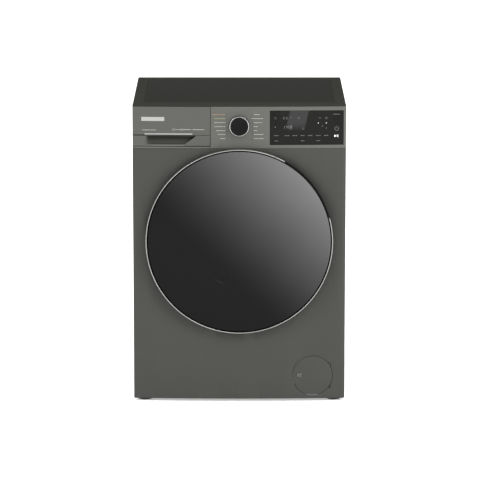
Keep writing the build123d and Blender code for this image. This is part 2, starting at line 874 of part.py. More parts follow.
with BuildPart() as door_frame:
    revolve(
        outline(
            [
                (frame_inner_radius, y_plate_back),
                (frame_inner_radius, y_plate),
                (ring_inner - 0.2, y_plate),
                (ring_inner - 0.2, y_ring + ring_height + 0.2),
                (ring_radius - clear, y_ring + ring_height + 0.2),
                (frame_back_radius, y_frame_back),
                (frame_back_radius - 3, y_frame_back),
                (frame_back_radius + 1, y_plate_back),
            ],
            door_plane,
        ),
        axis=door_axis,
    )
    block(
        (-ring_radius - 5, y_plate_back, door_z - hinge_room),
        (hinge_x + 14, y_panel + 20, door_z + hinge_room),
        Mode.SUBTRACT,
    )
    revolve(
        outline(
            [
                (frame_back_radius - 6, y_plate_back),
                (glass_radius + 1.1, y_plate_back),
                (glass_radius + 1.1, y_plate - 1),
                (ring_radius + 2, y_plate - 1),
                (ring_radius + 2, y_panel + 20),
                (frame_back_radius - 6, y_panel + 20),
            ],
            radial_plane(grip_from - grip_gap),
        ),
        axis=door_axis,
        revolution_arc=grip_to - grip_from + 2 * grip_gap,
        mode=Mode.SUBTRACT,
    )
    with BuildSketch(radial_plane(latch_angle).offset(-handle_lug_out)) as lugs:
        with Locations((handle_pivot_radius, (handle_pivot_y + y_plate_back) / 2 + 1.4)):
            Rectangle(8, handle_pivot_y - y_plate_back + 5)
    extrude(amount=10)
    far_lug = Location(radial_plane(latch_angle).z_dir * (2 * handle_lug_out - 10))
    extrude(lugs.sketch.moved(far_lug), amount=10)
    for side in (-1, 1):
        near = hook_thickness / 2 + loose
        with BuildSketch(radial_plane(latch_angle).offset(side * (near + 2) - 2)):
            with Locations((hook_radius, (hook_pivot_y + y_plate_back) / 2 + 1)):
                Rectangle(11, hook_pivot_y - y_plate_back + 4)
        extrude(amount=4)
    pin_plane = pivot_plane(handle_pivot_radius, handle_pivot_y, handle_lug_out - 4)
    bar(pin_plane, pivot_pin, 2 * handle_lug_out - 8)
    bar(pivot_plane(hook_radius, hook_pivot_y, hook_thickness), hook_pin, 2 * hook_thickness)
keep(door_frame, "door_frame")

with BuildPart() as door_trim_ring:
    revolve(
        outline(
            [
                (ring_inner, y_ring),
                (ring_radius, y_ring),
                (ring_radius, y_ring + ring_height),
                (ring_inner, y_ring + ring_height),
            ],
            radial_plane(grip_to),
        ),
        axis=door_axis,
        revolution_arc=360 - (grip_to - grip_from),
    )
keep(door_trim_ring, "door_trim_ring")

with BuildPart() as door_glass:
    with BuildSketch(door_plane):
        with BuildLine():
            middle = glass_radius / 2
            back = door_glass_wall
            ThreePointArc((0, y_crown), (middle, crown_y(middle)), (glass_radius, crown_y(glass_radius)))
            Line((glass_radius, crown_y(glass_radius)), (glass_radius, crown_y(glass_radius, back)))
            Line((glass_radius, crown_y(glass_radius, back)), (middle, crown_y(middle, back)))
            Polyline((middle, crown_y(middle, back)), (0, crown_y(middle, back) - 2), (0, y_crown))
        make_face()
    revolve(axis=door_axis)
keep(door_glass, "door_glass")

y_bowl = y_cover - clear - bowl_wall
bowl_end_y = y_cover - clear + bowl_depth
with BuildPart() as door_bowl:
    revolve(
        outline(
            [
                (0, bowl_end_y - bowl_wall),
                (bowl_end_radius - bowl_wall, bowl_end_y - bowl_wall),
                (bowl_radius - bowl_wall, y_bowl),
                (bowl_flange, y_bowl),
                (bowl_flange, y_bowl + bowl_wall),
                (bowl_radius, y_bowl + bowl_wall),
                (bowl_end_radius, bowl_end_y),
                (0, bowl_end_y),
            ],
            door_plane,
        ),
        axis=door_axis,
    )
keep(door_bowl, "door_bowl")

with BuildPart() as door_inner_ring:
    revolve(
        outline(
            [
                (bowl_radius + 2, y_cover_back),
                (bowl_radius + 2, y_cover),
                (frame_back_radius - 3, y_cover),
                (frame_back_radius - 3, y_cover_back),
            ],
            door_plane,
        ),
        axis=door_axis,
    )
    step = 360 / rib_count
    for index in range(rib_count):
        angle = (index + 0.5) * step
        if latch_angle - 25 < angle < latch_angle + 25:
            continue
        with Locations(radial_plane(angle).location):
            with Locations((frame_back_radius - 24, (y_cover + y_plate_back) / 2 + 0.15, 0)):
                Box(36, y_cover - y_plate_back - clear + 0.5, 2.5)
    block(
        (-ring_radius, y_plate_back - 1, door_z - hinge_room + 1),
        (hinge_x + 24, y_panel + 20, door_z + hinge_room - 1),
        Mode.SUBTRACT,
    )
    with Locations(radial_plane(latch_angle).location):
        with Locations((hook_radius, y_cover, 0)):
            Box(30, 20, 18, mode=Mode.SUBTRACT)
        with Locations((frame_back_radius, y_cover, 0)):
            Box(30, 20, 200, mode=Mode.SUBTRACT)
keep(door_inner_ring, "door_inner_ring")

with BuildPart() as hinge_arm:
    bar(Plane((hinge_x, hinge_y, door_z - hinge_half)), hinge_radius - 0.2, 2 * hinge_half)
    block((hinge_x, y_plate_back, door_z - hinge_half), (hinge_x + 46, y_plate_back + 4, door_z + hinge_half))
    bore_plane = Plane((hinge_x, hinge_y, door_z - hinge_half - 1))
    bar(bore_plane, hinge_pin + running, 2 * hinge_half + 2, Mode.SUBTRACT)
keep(hinge_arm, "hinge_arm")

ear_low = hinge_half + loose
ear_high = ear_low + hinge_ear
with BuildPart() as hinge_bracket:
    for side in (-1, 1):
        low, high = sorted((door_z + side * ear_low, door_z + side * ear_high))
        bar(Plane((hinge_x, hinge_y, low)), hinge_radius - 0.2, hinge_ear)
        block((hinge_x, hinge_y - 2.2, low), (hinge_x + 17, hinge_y + 2.2, high))
        block((hinge_x + 13, hinge_y - 2.2, low), (hinge_x + 17, y_dish, high))
    block((hinge_x + 13, y_dish - 3, door_z - ear_high), (hinge_x + 44, y_dish, door_z + ear_high))
    post(hinge_x, hinge_y, hinge_pin, door_z - ear_high, door_z + ear_high)
keep(hinge_bracket, "hinge_bracket")

latch_plane = radial_plane(latch_angle)
with BuildPart() as latch_hook:
    with BuildSketch(latch_plane.offset(-hook_thickness / 2)):
        with BuildLine():
            near = hook_radius - hook_width / 2
            far = hook_radius + hook_width / 2
            tip = y_dish + hook_reach
            Polyline(
                (near, hook_pivot_y - 4),
                (far, hook_pivot_y - 4),
                (far, tip),
                (near - hook_nose, tip),
                (near - hook_nose, tip - 4),
                (near, tip - 9),
                close=True,
            )
        make_face()
        with Locations((hook_radius, hook_pivot_y)):
            Circle(hook_pin + flat_fit, mode=Mode.SUBTRACT)
    extrude(amount=hook_thickness)
keep(latch_hook, "latch_hook")

with BuildPart() as door_handle:
    grip_inner = ring_inner + 0.2
    grip_outer = ring_radius - 0.2
    revolve(
        outline(
            [
                (grip_inner, y_ring + 0.2),
                (grip_outer, y_ring + 0.2),
                (grip_outer, y_ring + ring_height),
                (frame_back_radius + 4, y_frame_back - 6),
                (frame_back_radius + 1, y_frame_back - 6),
                (grip_inner - 3, y_plate_back + 7.5),
                (frame_back_radius - 6, y_plate_back + 7.5),
                (frame_back_radius - 6, y_plate_back + 4.5),
                (grip_inner, y_plate_back + 4.5),
            ],
            radial_plane(grip_from + 1),
        ),
        axis=door_axis,
        revolution_arc=grip_to - grip_from - 2,
    )
    with Locations(latch_plane.location):
        with Locations((handle_pivot_radius + 5, y_plate_back + 6, 0)):
            Box(14, 3, 2 * handle_lug_out - 22)
        for side in (-1, 1):
            with Locations((handle_pivot_radius, y_plate_back + 6, side * (handle_lug_out - 5))):
                Box(11, 6, 11, mode=Mode.SUBTRACT)
    with BuildSketch(latch_plane.offset(-handle_lug_out + 11)):
        with Locations((handle_pivot_radius, handle_pivot_y)):
            Circle(pivot_pin + 2.5)
    extrude(amount=2 * handle_lug_out - 22)
    with BuildSketch(latch_plane.offset(-handle_lug_out)):
        with Locations((handle_pivot_radius, handle_pivot_y)):
            Circle(pivot_pin + flat_fit)
    extrude(amount=2 * handle_lug_out, mode=Mode.SUBTRACT)
keep(door_handle, "door_handle")

with BuildPart() as door_lock:
    with Locations(latch_plane.location):
        with Locations((lock_radius, y_dish + bezel_plate / 2, 0)):
            Box(bezel_reach - 1, bezel_plate, bezel_span - 1)
        with Locations((lock_radius, y_dish + (bezel_plate + lock_size) / 2, 0)):
            Box(lock_size, lock_size - bezel_plate, lock_span)
        with Locations((lock_radius, y_dish + mouth_depth / 2 - 1, 0)):
            Box(mouth_reach, mouth_depth + 2, mouth_span, mode=Mode.SUBTRACT)
keep(door_lock, "door_lock")

# ======================= Gasket, tub and drum ===========================================
with BuildPart() as door_gasket:
    lip = 2.6
    bead = opening_radius + 4
    revolve(
        outline(
            [
                (lip_radius, y_dish - 7),
                (bead, y_dish - clear),
                (opening_radius - 0.4, y_dish - clear),
                (opening_radius - 0.4, y_dish + 6),
                (gasket_bulge, (y_dish + tub_front) / 2 + 4),
                (tub_mouth - 0.4, tub_front - clear),
                (tub_mouth - 0.4, tub_front + 4.5),
                (gasket_bulge - lip - 1, (y_dish + tub_front) / 2 + 4),
                (lip_radius, y_dish - 4.5),
            ],
            door_plane,
        ),
        axis=door_axis,
    )
keep(door_gasket, "door_gasket")


def tub_lugs(low, high, reach):
    """Lugs spaced round the tub's rim, from depth low to high."""
    for index in range(tub_lug_count):
        with Locations(radial_plane(index * 360 / tub_lug_count).location):
            with Locations(((tub_radius + reach) / 2, (low + high) / 2, 0)):
                Box(reach - tub_radius, high - low, 18)


lug_reach = tub_radius + tub_wall + tub_lug
with BuildPart() as tub_front_half:
    rod(0, door_z, tub_radius + tub_wall, tub_front, tub_split)
    tub_lugs(tub_split - 6, tub_split, lug_reach)
    bar(Plane((sump_x, sump_y, sump_top)), sump_radius, 48)
    rod(0, door_z, tub_radius, tub_front + tub_wall, tub_split + 1, Mode.SUBTRACT)
    rod(0, door_z, tub_mouth, tub_front - 1, tub_split, Mode.SUBTRACT)
keep(tub_front_half, "tub_front")

tub_wall_y = tub_back - tub_wall
with BuildPart() as tub_rear_half:
    rod(0, door_z, tub_radius + tub_wall, tub_split, tub_back)
    tub_lugs(tub_split, tub_split + 6, lug_reach)
    spring_foot = sqrt(tub_radius**2 - spring_rise**2) - 5
    for side in (-1, 1):
        low, high = sorted((side * spring_foot, side * (spring_x + 10)))
        block((low, spring_y - 10, spring_low - 8), (high, spring_y + 10, spring_low))
        low, high = sorted((side * (damper_top_x - 12), side * (damper_top_x + 12)))
        block((low, damper_y - 10, damper_top_z), (high, damper_y + 10, damper_top_z + 40))
    for x in (motor_x - motor_radius + 10, motor_x + motor_radius - 10):
        block(
            (x - 7, motor_front + 20, motor_z + motor_radius + clear),
            (x + 7, motor_back - 20, door_z - tub_radius + 58),
        )
    spigot_low = door_z + sqrt(tub_radius**2 - fill_x**2) - 10
    bar(Plane((fill_x, fill_y, spigot_low)), fill_radius, tub_spigot_top - spigot_low)
    rod(0, door_z, tub_radius, tub_split - 1, tub_wall_y, Mode.SUBTRACT)
    bar(along_y(0, tub_back - 1, door_z), hub_radius, hub_back - tub_back + 1)
    for index in range(6):
        with Locations(radial_plane((index + 0.5) * 60).location):
            with Locations(((hub_radius + tub_radius) / 2, tub_back + 7, 0)):
                Box(tub_radius - hub_radius + 4, 16, 3)
    bar(along_y(0, tub_wall_y - 5, door_z), bearing_radius + 0.02, hub_back + 6 - tub_wall_y, Mode.SUBTRACT)
    block(
        (-heater_half - 6, tub_wall_y - 1, heater_z - 6),
        (heater_half + 6, tub_back + 20, heater_z + 6),
        Mode.SUBTRACT,
    )
keep(tub_rear_half, "tub_rear")

with BuildPart() as heater:
    for side in (-1, 1):
        bar(along_y(side * heater_half, tub_front + 30, heater_z), heater_rod, tub_wall_y - tub_front - 30)
    block(
        (-heater_half, tub_front + 26, heater_z - heater_rod),
        (heater_half, tub_front + 33, heater_z + heater_rod),
    )
    block(
        (-heater_half - 5.7, tub_wall_y - 0.5, heater_z - 5.7),
        (heater_half + 5.7, tub_back + 5, heater_z + 5.7),
    )
keep(heater, "heater")

with BuildPart() as drum_bearings:
    for front in (tub_wall_y, hub_back - bearing_length):
        bar(along_y(0, front, door_z), bearing_radius, bearing_length)
        bar(along_y(0, front - 1, door_z), shaft_radius + running, bearing_length + 2, Mode.SUBTRACT)
keep(drum_bearings, "drum_bearings")

with BuildPart() as drum_shell:
    revolve(
        outline(
            [
                (drum_mouth, drum_front - drum_nose),
                (drum_radius, drum_front),
                (drum_radius, drum_back),
                (drum_radius - drum_sheet, drum_back),
                (drum_radius - drum_sheet, drum_front + drum_sheet),
                (drum_mouth, drum_front - drum_nose + drum_sheet),
            ],
            door_plane,
        ),
        axis=door_axis,
    )
keep(drum_shell, "drum_shell")

with BuildPart() as drum_back_plate:
    rod(0, door_z, drum_radius - drum_sheet - 0.1, drum_back - 1.5, drum_back)
keep(drum_back_plate, "drum_back_plate")

with BuildPart() as drum_lifters:
    foot_line = drum_radius - drum_sheet - 3.4
    crest = drum_radius - drum_sheet - lifter_height
    points = [(-34, foot_line), (-13, crest + 4), (-7, crest), (7, crest), (13, crest + 4), (34, foot_line)]
    lifter_back = drum_back - 20
    for index in range(lifter_count):
        plane = radial_plane(60 + index * 360 / lifter_count)
        side_plane = Plane(origin=plane.origin, x_dir=plane.z_dir, z_dir=(0, -1, 0)).offset(-lifter_back)
        up = 1 if side_plane.y_dir.dot(plane.x_dir) > 0 else -1
        extrude(outline([(x, up * y) for x, y in points], side_plane), amount=lifter_back - drum_front - 24)
keep(drum_lifters, "drum_lifters")

spider_front = drum_back + clear
with BuildPart() as drum_spider:
    bar(along_y(0, spider_front, door_z), 36, tub_wall_y - 5.5 - spider_front)
    for index in range(lifter_count):
        with Locations(radial_plane(60 + index * 360 / lifter_count).location):
            with Locations(((30 + drum_radius - 6) / 2, spider_front + 6, 0)):
                Box(drum_radius - 36, 12, spider_arm)
            with Locations(((30 + drum_radius - 6) / 2, spider_front + 7.5, 0)):
                Box(drum_radius - 96, 12, spider_arm - 10, mode=Mode.SUBTRACT)
    rod(0, door_z, shaft_radius, spider_front, pulley_front + pulley_width + 2)
    with BuildSketch(along_y(0, pulley_front + pulley_width + 1, door_z)):
        RegularPolygon(10, 6)
    extrude(amount=7)
keep(drum_spider, "drum_spider")

with BuildPart() as drum_pulley:
    rear = pulley_front + pulley_width
    rod(0, door_z, pulley_radius, pulley_front, rear)
    rod(0, door_z, pulley_radius - 5, pulley_front - 1, rear + 1, Mode.SUBTRACT)
    bar(along_y(0, pulley_front, door_z), 26, pulley_width)
    for index in range(6):
        with Locations(radial_plane(index * 60).location):
            with Locations(((pulley_radius + 20) / 2, pulley_front + pulley_width / 2, 0)):
                Box(pulley_radius - 24, 7, 18)
    bar(along_y(0, pulley_front - 1, door_z), shaft_radius + running, pulley_width + 2, Mode.SUBTRACT)
keep(drum_pulley, "drum_pulley")


def belt_face(gap, plane):
    """Closed outline of a belt line that runs gap outside both pulleys."""
    big = pulley_radius + gap
    small = motor_pulley_radius + gap
    span = sqrt(motor_x**2 + (door_z - motor_z) ** 2)
    down = atan2(motor_z - door_z, motor_x)
    turn = acos((big - small) / span)

    def at(centre, radius, angle):
        return (centre[0] + radius * cos(angle), centre[1] + radius * sin(angle))

    drum, motor = (0, door_z), (motor_x, motor_z)
    with BuildSketch(plane) as drawn:
        with BuildLine():
            ThreePointArc(
                at(drum, big, down + turn), at(drum, big, down + radians(180)), at(drum, big, down - turn)
            )
            Line(at(drum, big, down - turn), at(motor, small, down - turn))
            ThreePointArc(
                at(motor, small, down - turn), at(motor, small, down), at(motor, small, down + turn)
            )
            Line(at(motor, small, down + turn), at(drum, big, down + turn))
        make_face()
    return drawn.sketch


with BuildPart() as drive_belt:
    belt_back = pulley_front + (pulley_width + belt_width) / 2
    extrude(belt_face(clear + belt_thickness, upright(belt_back)), amount=belt_width)
    extrude(belt_face(clear, upright(belt_back)), amount=belt_width, mode=Mode.SUBTRACT)
keep(drive_belt, "drive_belt")

with BuildPart() as motor_housing:
    block(
        (motor_x - motor_radius, motor_front, motor_z - motor_radius),
        (motor_x + motor_radius, motor_back, motor_z + motor_radius),
    )
    chamfer(motor_housing.edges().filter_by(Axis.Y), 16)
    block(
        (motor_x - motor_radius - 1, motor_front + 30, motor_z - 24),
        (motor_x - motor_radius + 5, motor_back - 30, motor_z + 24),
        Mode.SUBTRACT,
    )
    bar(along_y(motor_x, motor_back - 1, motor_z), 22, 11)
    rod(motor_x, motor_z, motor_shaft + running, motor_back - 22, motor_back + 11, Mode.SUBTRACT)
keep(motor_housing, "motor_housing")

with BuildPart() as motor_rotor:
    bar(along_y(motor_x, motor_back - 20, motor_z), motor_shaft - 0.3, pulley_front + 21 - motor_back)
    rod(motor_x, motor_z, motor_pulley_radius, pulley_front, pulley_front + pulley_width)
keep(motor_rotor, "motor_rotor")

# ======================= Weights, springs and dampers ====================================
weight_seat = lug_reach + clear
with BuildPart() as counterweight_top:
    block((weight_left, weight_front, door_z + weight_foot), (weight_right, weight_back, weight_top))
    chamfer(counterweight_top.edges().filter_by(Axis.Z), 14)
    rod(0, door_z, weight_seat, weight_front - 1, weight_back + 1, Mode.SUBTRACT)
keep(counterweight_top, "counterweight_top")

with BuildPart() as counterweight_front:
    count = 8
    reach = weight_outer / cos(radians(90 / count))
    arc = [radians(180 + 180 * index / count) for index in range(count + 1)]
    points = [(reach * cos(angle), reach * sin(angle)) for angle in arc]
    plane = Plane(origin=(0, tub_front - clear, door_z - 12), x_dir=(1, 0, 0), z_dir=(0, -1, 0))
    extrude(outline(points, plane), amount=weight_thick)
    rod(0, door_z, weight_inner, tub_front - weight_thick - 2, tub_front + 1, Mode.SUBTRACT)
keep(counterweight_front, "counterweight_front")

with BuildPart() as tub_springs:
    for side in (-1, 1):
        spring_foot = Plane((side * spring_x, spring_y, spring_low + clear))
        bar(spring_foot, spring_radius, spring_high - spring_low - 2 * clear)
keep(tub_springs, "tub_springs")

damper_length = sqrt((damper_low_x - damper_top_x) ** 2 + (damper_top_z - damper_low_z) ** 2)


def damper_plane(side):
    """Plane at a damper's lower end, with its normal up the damper."""
    return Plane(
        origin=(side * damper_low_x, damper_y, damper_low_z),
        x_dir=(0, 1, 0),
        z_dir=(side * (damper_top_x - damper_low_x), 0, damper_top_z - damper_low_z),
    )


with BuildPart() as damper_tubes:
    for side in (-1, 1):
        bar(damper_plane(side).offset(damper_eye), damper_radius, damper_length * 0.55)
        bar(damper_plane(side).offset(damper_eye + 20), damper_rod + clear, damper_length, Mode.SUBTRACT)
        middle = side * damper_low_x
        block(
            (middle - 12, damper_y - 12, base_z + pan_wall),
            (middle + 12, damper_y + 12, damper_low_z + 14),
        )
keep(damper_tubes, "damper_tubes")

with BuildPart() as damper_rods:
    for side in (-1, 1):
        bar(damper_plane(side).offset(damper_eye + 24), damper_rod, damper_length - damper_eye - 26.5)
keep(damper_rods, "damper_rods")

# ======================= Pump, filter and hatch ==========================================
filter_front = y_corner + 16
with BuildPart() as filter_housing:
    bar(along_y(hatch_x, filter_front, hatch_z), filter_radius + filter_wall, filter_back - filter_front)
    board = hatch_radius + 5.5
    block((hatch_x - board, filter_front, hatch_z - 26), (hatch_x + board, filter_front + 3, hatch_z + board))
    spigot_plane = Plane(origin=(hatch_x - filter_radius, sump_y, hatch_z), z_dir=(-1, 0, 0))
    bar(spigot_plane, sump_radius, 22)
    block(
        (hatch_x - 24, filter_front + 20, base_z + pan_wall),
        (hatch_x + 24, filter_front + 40, hatch_z - 20),
    )
    rod(hatch_x, hatch_z, filter_radius, filter_front - 1, filter_back - 4, Mode.SUBTRACT)
keep(filter_housing, "filter_housing")

with BuildPart() as pump_filter:
    body = filter_radius - loose
    rod(hatch_x, hatch_z, body, filter_front - 6, filter_front + 14)
    block((hatch_x - 16, filter_front - 14, hatch_z - 2.5), (hatch_x + 16, filter_front - 5, hatch_z + 2.5))
    for x, z in ((-9, -9), (9, -9), (-9, 9), (9, 9)):
        block(
            (hatch_x + x - 3, filter_front + 13, hatch_z + z - 3),
            (hatch_x + x + 3, filter_back - 14, hatch_z + z + 3),
        )
    bar(along_y(hatch_x, filter_back - 16, hatch_z), body - 9, 4)
keep(pump_filter, "pump_filter")

with BuildPart() as drain_pump:
    volute_back = filter_back + clear + 24
    bar(along_y(hatch_x, filter_back + clear, hatch_z), filter_radius + 7, volute_back - filter_back - clear)
    block((hatch_x - 27, volute_back - 1, hatch_z - 27), (hatch_x + 27, volute_back + 52, hatch_z + 27))
    block((hatch_x, filter_back + 4, drain_z - 8), (drain_x, volute_back - 2, drain_z + 8))
    bar(along_y(drain_x, filter_back + 4, drain_z), drain_radius - 2.6, volute_back + 16 - filter_back)
    block((hatch_x - 20, volute_back + 8, base_z + pan_wall), (hatch_x + 20, volute_back + 44, hatch_z - 26))
keep(drain_pump, "drain_pump")

with BuildPart() as drain_hose:
    hose_front = volute_back + clear
    bar(along_y(drain_x, hose_front, drain_z), drain_radius, y_back + 1 - hose_front)
    bar(along_y(drain_x, y_back + clear, drain_z), drain_collar, 1.5)
    rod(drain_x, drain_z, drain_radius, y_back + 1, y_back + rear_proud)
    hose_length = y_back + rear_proud - hose_front
    bar(along_y(drain_x, hose_front, drain_z), drain_radius - 2, hose_length, Mode.SUBTRACT)
keep(drain_hose, "drain_hose")

with BuildPart() as sump_hose:
    start = (sump_x, sump_y, sump_top + 12)
    corner = (sump_x, sump_y, hatch_z)
    end = (hatch_x - filter_radius - filter_wall - 6, sump_y, hatch_z)
    bend = min(start[2] - corner[2], end[0] - corner[0]) - 8
    for radius, mode in ((sump_radius + 2.8, Mode.ADD), (sump_radius + clear, Mode.SUBTRACT)):
        with BuildLine() as path:
            FilletPolyline(start, corner, end, radius=bend)
        with BuildSketch(Plane(origin=start, z_dir=(0, 0, -1))) as section:
            RegularPolygon(radius, hose_sides, major_radius=False)
        sweep(section.sketch, path=path.wires()[0], mode=mode)
keep(sump_hose, "sump_hose")

with BuildPart() as filter_hatch:
    reach = hatch_radius + 2
    extrude(
        bowed_band(hatch_x - reach, hatch_x + reach, 0, hatch_wall, hatch_z - reach),
        amount=2 * reach,
    )
    with BuildSketch(upright(y_corner + 10)):
        with Locations((hatch_x, hatch_z)):
            Circle(hatch_radius)
    extrude(amount=40, mode=Mode.INTERSECT)
    block(
        (hatch_x - 45.5, y_panel - 1, hatch_z - 5.9),
        (hatch_x - 28.5, y_corner + 4, hatch_z + 5.9),
        Mode.SUBTRACT,
    )
    for side in (-1, 1):
        low, high = sorted((hatch_z + side * (lug_low - 10), hatch_z + side * (lug_low - 6)))
        block(
            (hatch_axis_x - 2.6, bow_y(hatch_axis_x, 1.1), low),
            (hatch_axis_x + 2.2, hatch_axis_y + 2.5, high),
        )
        low, high = sorted((hatch_z + side * (lug_low - 8), hatch_z + side * (lug_low + 6)))
        post(hatch_axis_x, hatch_axis_y, hatch_peg, low, high)
keep(filter_hatch, "filter_hatch")

with BuildPart() as mains_gland:
    bar(along_y(gland_x, y_back - 10, gland_z), gland_radius, 10 + rear_proud)
    with BuildSketch(along_y(gland_x, y_back - sheet - 5, gland_z)):
        RegularPolygon(gland_radius + 5, 6)
    extrude(amount=5 - clear)
keep(mains_gland, "mains_gland")
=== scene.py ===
import json
import math
from contextlib import contextmanager

import bmesh
import bpy
import numpy as np
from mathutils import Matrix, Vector


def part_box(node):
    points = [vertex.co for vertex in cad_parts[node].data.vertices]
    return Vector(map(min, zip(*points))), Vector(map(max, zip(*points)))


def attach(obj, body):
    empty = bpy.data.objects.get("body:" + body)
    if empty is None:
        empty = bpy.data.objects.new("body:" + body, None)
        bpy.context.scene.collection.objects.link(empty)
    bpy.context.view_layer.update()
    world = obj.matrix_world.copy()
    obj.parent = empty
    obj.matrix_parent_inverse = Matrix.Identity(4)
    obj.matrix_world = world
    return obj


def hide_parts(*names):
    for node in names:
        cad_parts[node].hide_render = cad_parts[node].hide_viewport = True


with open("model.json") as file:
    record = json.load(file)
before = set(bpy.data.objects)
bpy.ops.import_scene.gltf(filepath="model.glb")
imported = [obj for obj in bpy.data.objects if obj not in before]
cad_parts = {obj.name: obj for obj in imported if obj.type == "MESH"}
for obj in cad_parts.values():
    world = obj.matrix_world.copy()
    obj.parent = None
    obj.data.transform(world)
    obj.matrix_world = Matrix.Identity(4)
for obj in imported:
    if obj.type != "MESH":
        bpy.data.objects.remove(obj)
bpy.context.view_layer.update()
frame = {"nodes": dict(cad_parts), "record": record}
nodes = frame["nodes"]
slot_of = {part["node"]: part["material_slot"] for part in frame["record"]["subparts"]}
body_of_node = {
    node: body
    for body, members in frame["record"]["behaviour"]["bodies"].items()
    for node in members
}

# ---- Sizes, in metres, from the frame
panel_low, panel_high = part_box("control_panel")
front_y = panel_low[1]
half_width = (panel_high[0] - panel_low[0]) / 2
bow_depth = 0.009
bow_radius = (half_width**2 + bow_depth**2) / (2 * bow_depth)
lid_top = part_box("top_lid")[1][2]
glass_low, glass_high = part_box("door_glass")
door_z = (glass_low[2] + glass_high[2]) / 2
glass_radius = (glass_high[0] - glass_low[0]) / 2
ring_low, ring_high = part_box("door_trim_ring")
ring_radius = (ring_high[0] - ring_low[0]) / 2


def bow(x, inset=0.0):
    """Depth of the bowed front at x: a shallow arc through both corners."""
    return front_y + bow_radius - np.sqrt((bow_radius - inset) ** 2 - np.asarray(x) ** 2)


# ---- Mesh code
def quads(rows, columns, close_rows=False, close_columns=False):
    """Corner numbers of the quads between the points of a grid of rows by columns."""
    r = np.arange(rows if close_rows else rows - 1)
    c = np.arange(columns if close_columns else columns - 1)
    r, c = np.meshgrid(r, c, indexing="ij")
    r2, c2 = (r + 1) % rows, (c + 1) % columns
    corners = [r * columns + c, r * columns + c2, r2 * columns + c2, r2 * columns + c]
    return np.stack(corners, axis=-1).reshape(-1, 4)


def mesh_from(name, points, faces):
    """New mesh from arrays of points and of faces with equal numbers of corners."""
    mesh = bpy.data.meshes.new(name)
    mesh.from_pydata(np.asarray(points).reshape(-1, 3).tolist(), [], np.asarray(faces).tolist())
    return mesh


@contextmanager
def editing(mesh):
    """Lends the mesh as a bmesh and writes it back."""
    bm = bmesh.new()
    bm.from_mesh(mesh)
    yield bm
    bm.to_mesh(mesh)
    bm.free()


def numbers(items, field, width=3, kind=np.float32):
    """One field of all of a mesh's points, corners or faces, a row each."""
    values = np.empty(len(items) * width, kind)
    items.foreach_get(field, values)
    return values.reshape(-1, width)


def close_up(mesh):
    """Merges doubled points at seams and poles, drops flat faces, and turns normals outwards."""
    with editing(mesh) as bm:
        bmesh.ops.remove_doubles(bm, verts=bm.verts, dist=2e-6)
        bmesh.ops.dissolve_degenerate(bm, edges=bm.edges, dist=1e-7)
        bmesh.ops.recalc_face_normals(bm, faces=bm.faces)


def place(name, mesh, finish, body, replaced=(), smooth=35.0):
    """Puts a finished mesh in the scene on a body, shaded smooth below an angle."""
    mesh.polygons.foreach_set("use_smooth", np.ones(len(mesh.polygons), bool))
    mesh.set_sharp_from_angle(angle=math.radians(smooth))
    mesh.materials.clear()
    mesh.materials.append(finishes[finish])
    piece = bpy.data.objects.new(name, mesh)
    bpy.context.scene.collection.objects.link(piece)
    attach(piece, body)
    if replaced:
        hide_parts(*replaced)


def rounded(corners, steps=5):
    """Profile with its corners rounded.

    Each corner is (u, v, radius). A corner's arc starts and ends where the circle of that radius
    touches both sides, and its points turn evenly from one to the other.
    """
    points = []
    count = len(corners)
    for index, (u, v, radius) in enumerate(corners):
        here = np.array([u, v])
        if radius == 0 or index in (0, count - 1):
            points.append(here)
            continue
        before = np.array(corners[index - 1][:2]) - here
        after = np.array(corners[(index + 1) % count][:2]) - here
        before /= np.linalg.norm(before)
        after /= np.linalg.norm(after)
        opening = math.acos(np.clip(before @ after, -1, 1))
        reach = radius / math.tan(opening / 2)
        inwards = (before + after) / np.linalg.norm(before + after)
        middle = here + inwards * radius / math.sin(opening / 2)
        start = here + before * reach - middle
        end = here + after * reach - middle
        turn = np.linspace(0, 1, steps + 1)[:, None]
        swing = math.acos(np.clip(start @ end / radius**2, -1, 1))
        arc = (np.sin((1 - turn) * swing) * start + np.sin(turn * swing) * end) / math.sin(swing)
        points.extend(middle + arc)
    return np.array(points)


def lathe(profile, centre, start=0.0, sweep=360.0, steps=192):
    """Points and faces of a turned shape about a line along Y.

    A profile point (radius, y) goes to x = cx + radius sin a and z = cz + radius cos a, with the
    angle a clockwise from the top. A part turn of a closed profile gets end faces elsewhere.
    """
    whole = sweep >= 360.0
    angles = np.radians(start + np.linspace(0, sweep, steps + (not whole), endpoint=not whole))
    radius, y = np.asarray(profile).T
    x = centre[0] + np.outer(np.sin(angles), radius)
    z = centre[1] + np.outer(np.cos(angles), radius)
    points = np.stack([x, np.broadcast_to(y, x.shape), z], axis=-1)
    return points, quads(len(angles), len(radius), close_rows=whole)


def turned(
    name, profile, centre, finish, body, replaced=(),
    closed=True, start=0.0, sweep=360.0, steps=192, smooth=35.0,
):
    """Turned piece of a profile. A closed profile joins its ends, and a part turn is capped."""
    profile = np.asarray(profile)
    if closed:
        profile = np.vstack([profile, profile[:1]])
    points, faces = lathe(profile, centre, start, sweep, steps)
    mesh = mesh_from(name, points, faces)
    if sweep < 360.0:
        cap_ends(mesh)
    close_up(mesh)
    place(name, mesh, finish, body, replaced, smooth)


def cap_ends(mesh):
    """Fills the open ends of a swept profile."""
    with editing(mesh) as bm:
        bmesh.ops.remove_doubles(bm, verts=bm.verts, dist=2e-6)
        bmesh.ops.holes_fill(bm, edges=[edge for edge in bm.edges if edge.is_boundary])


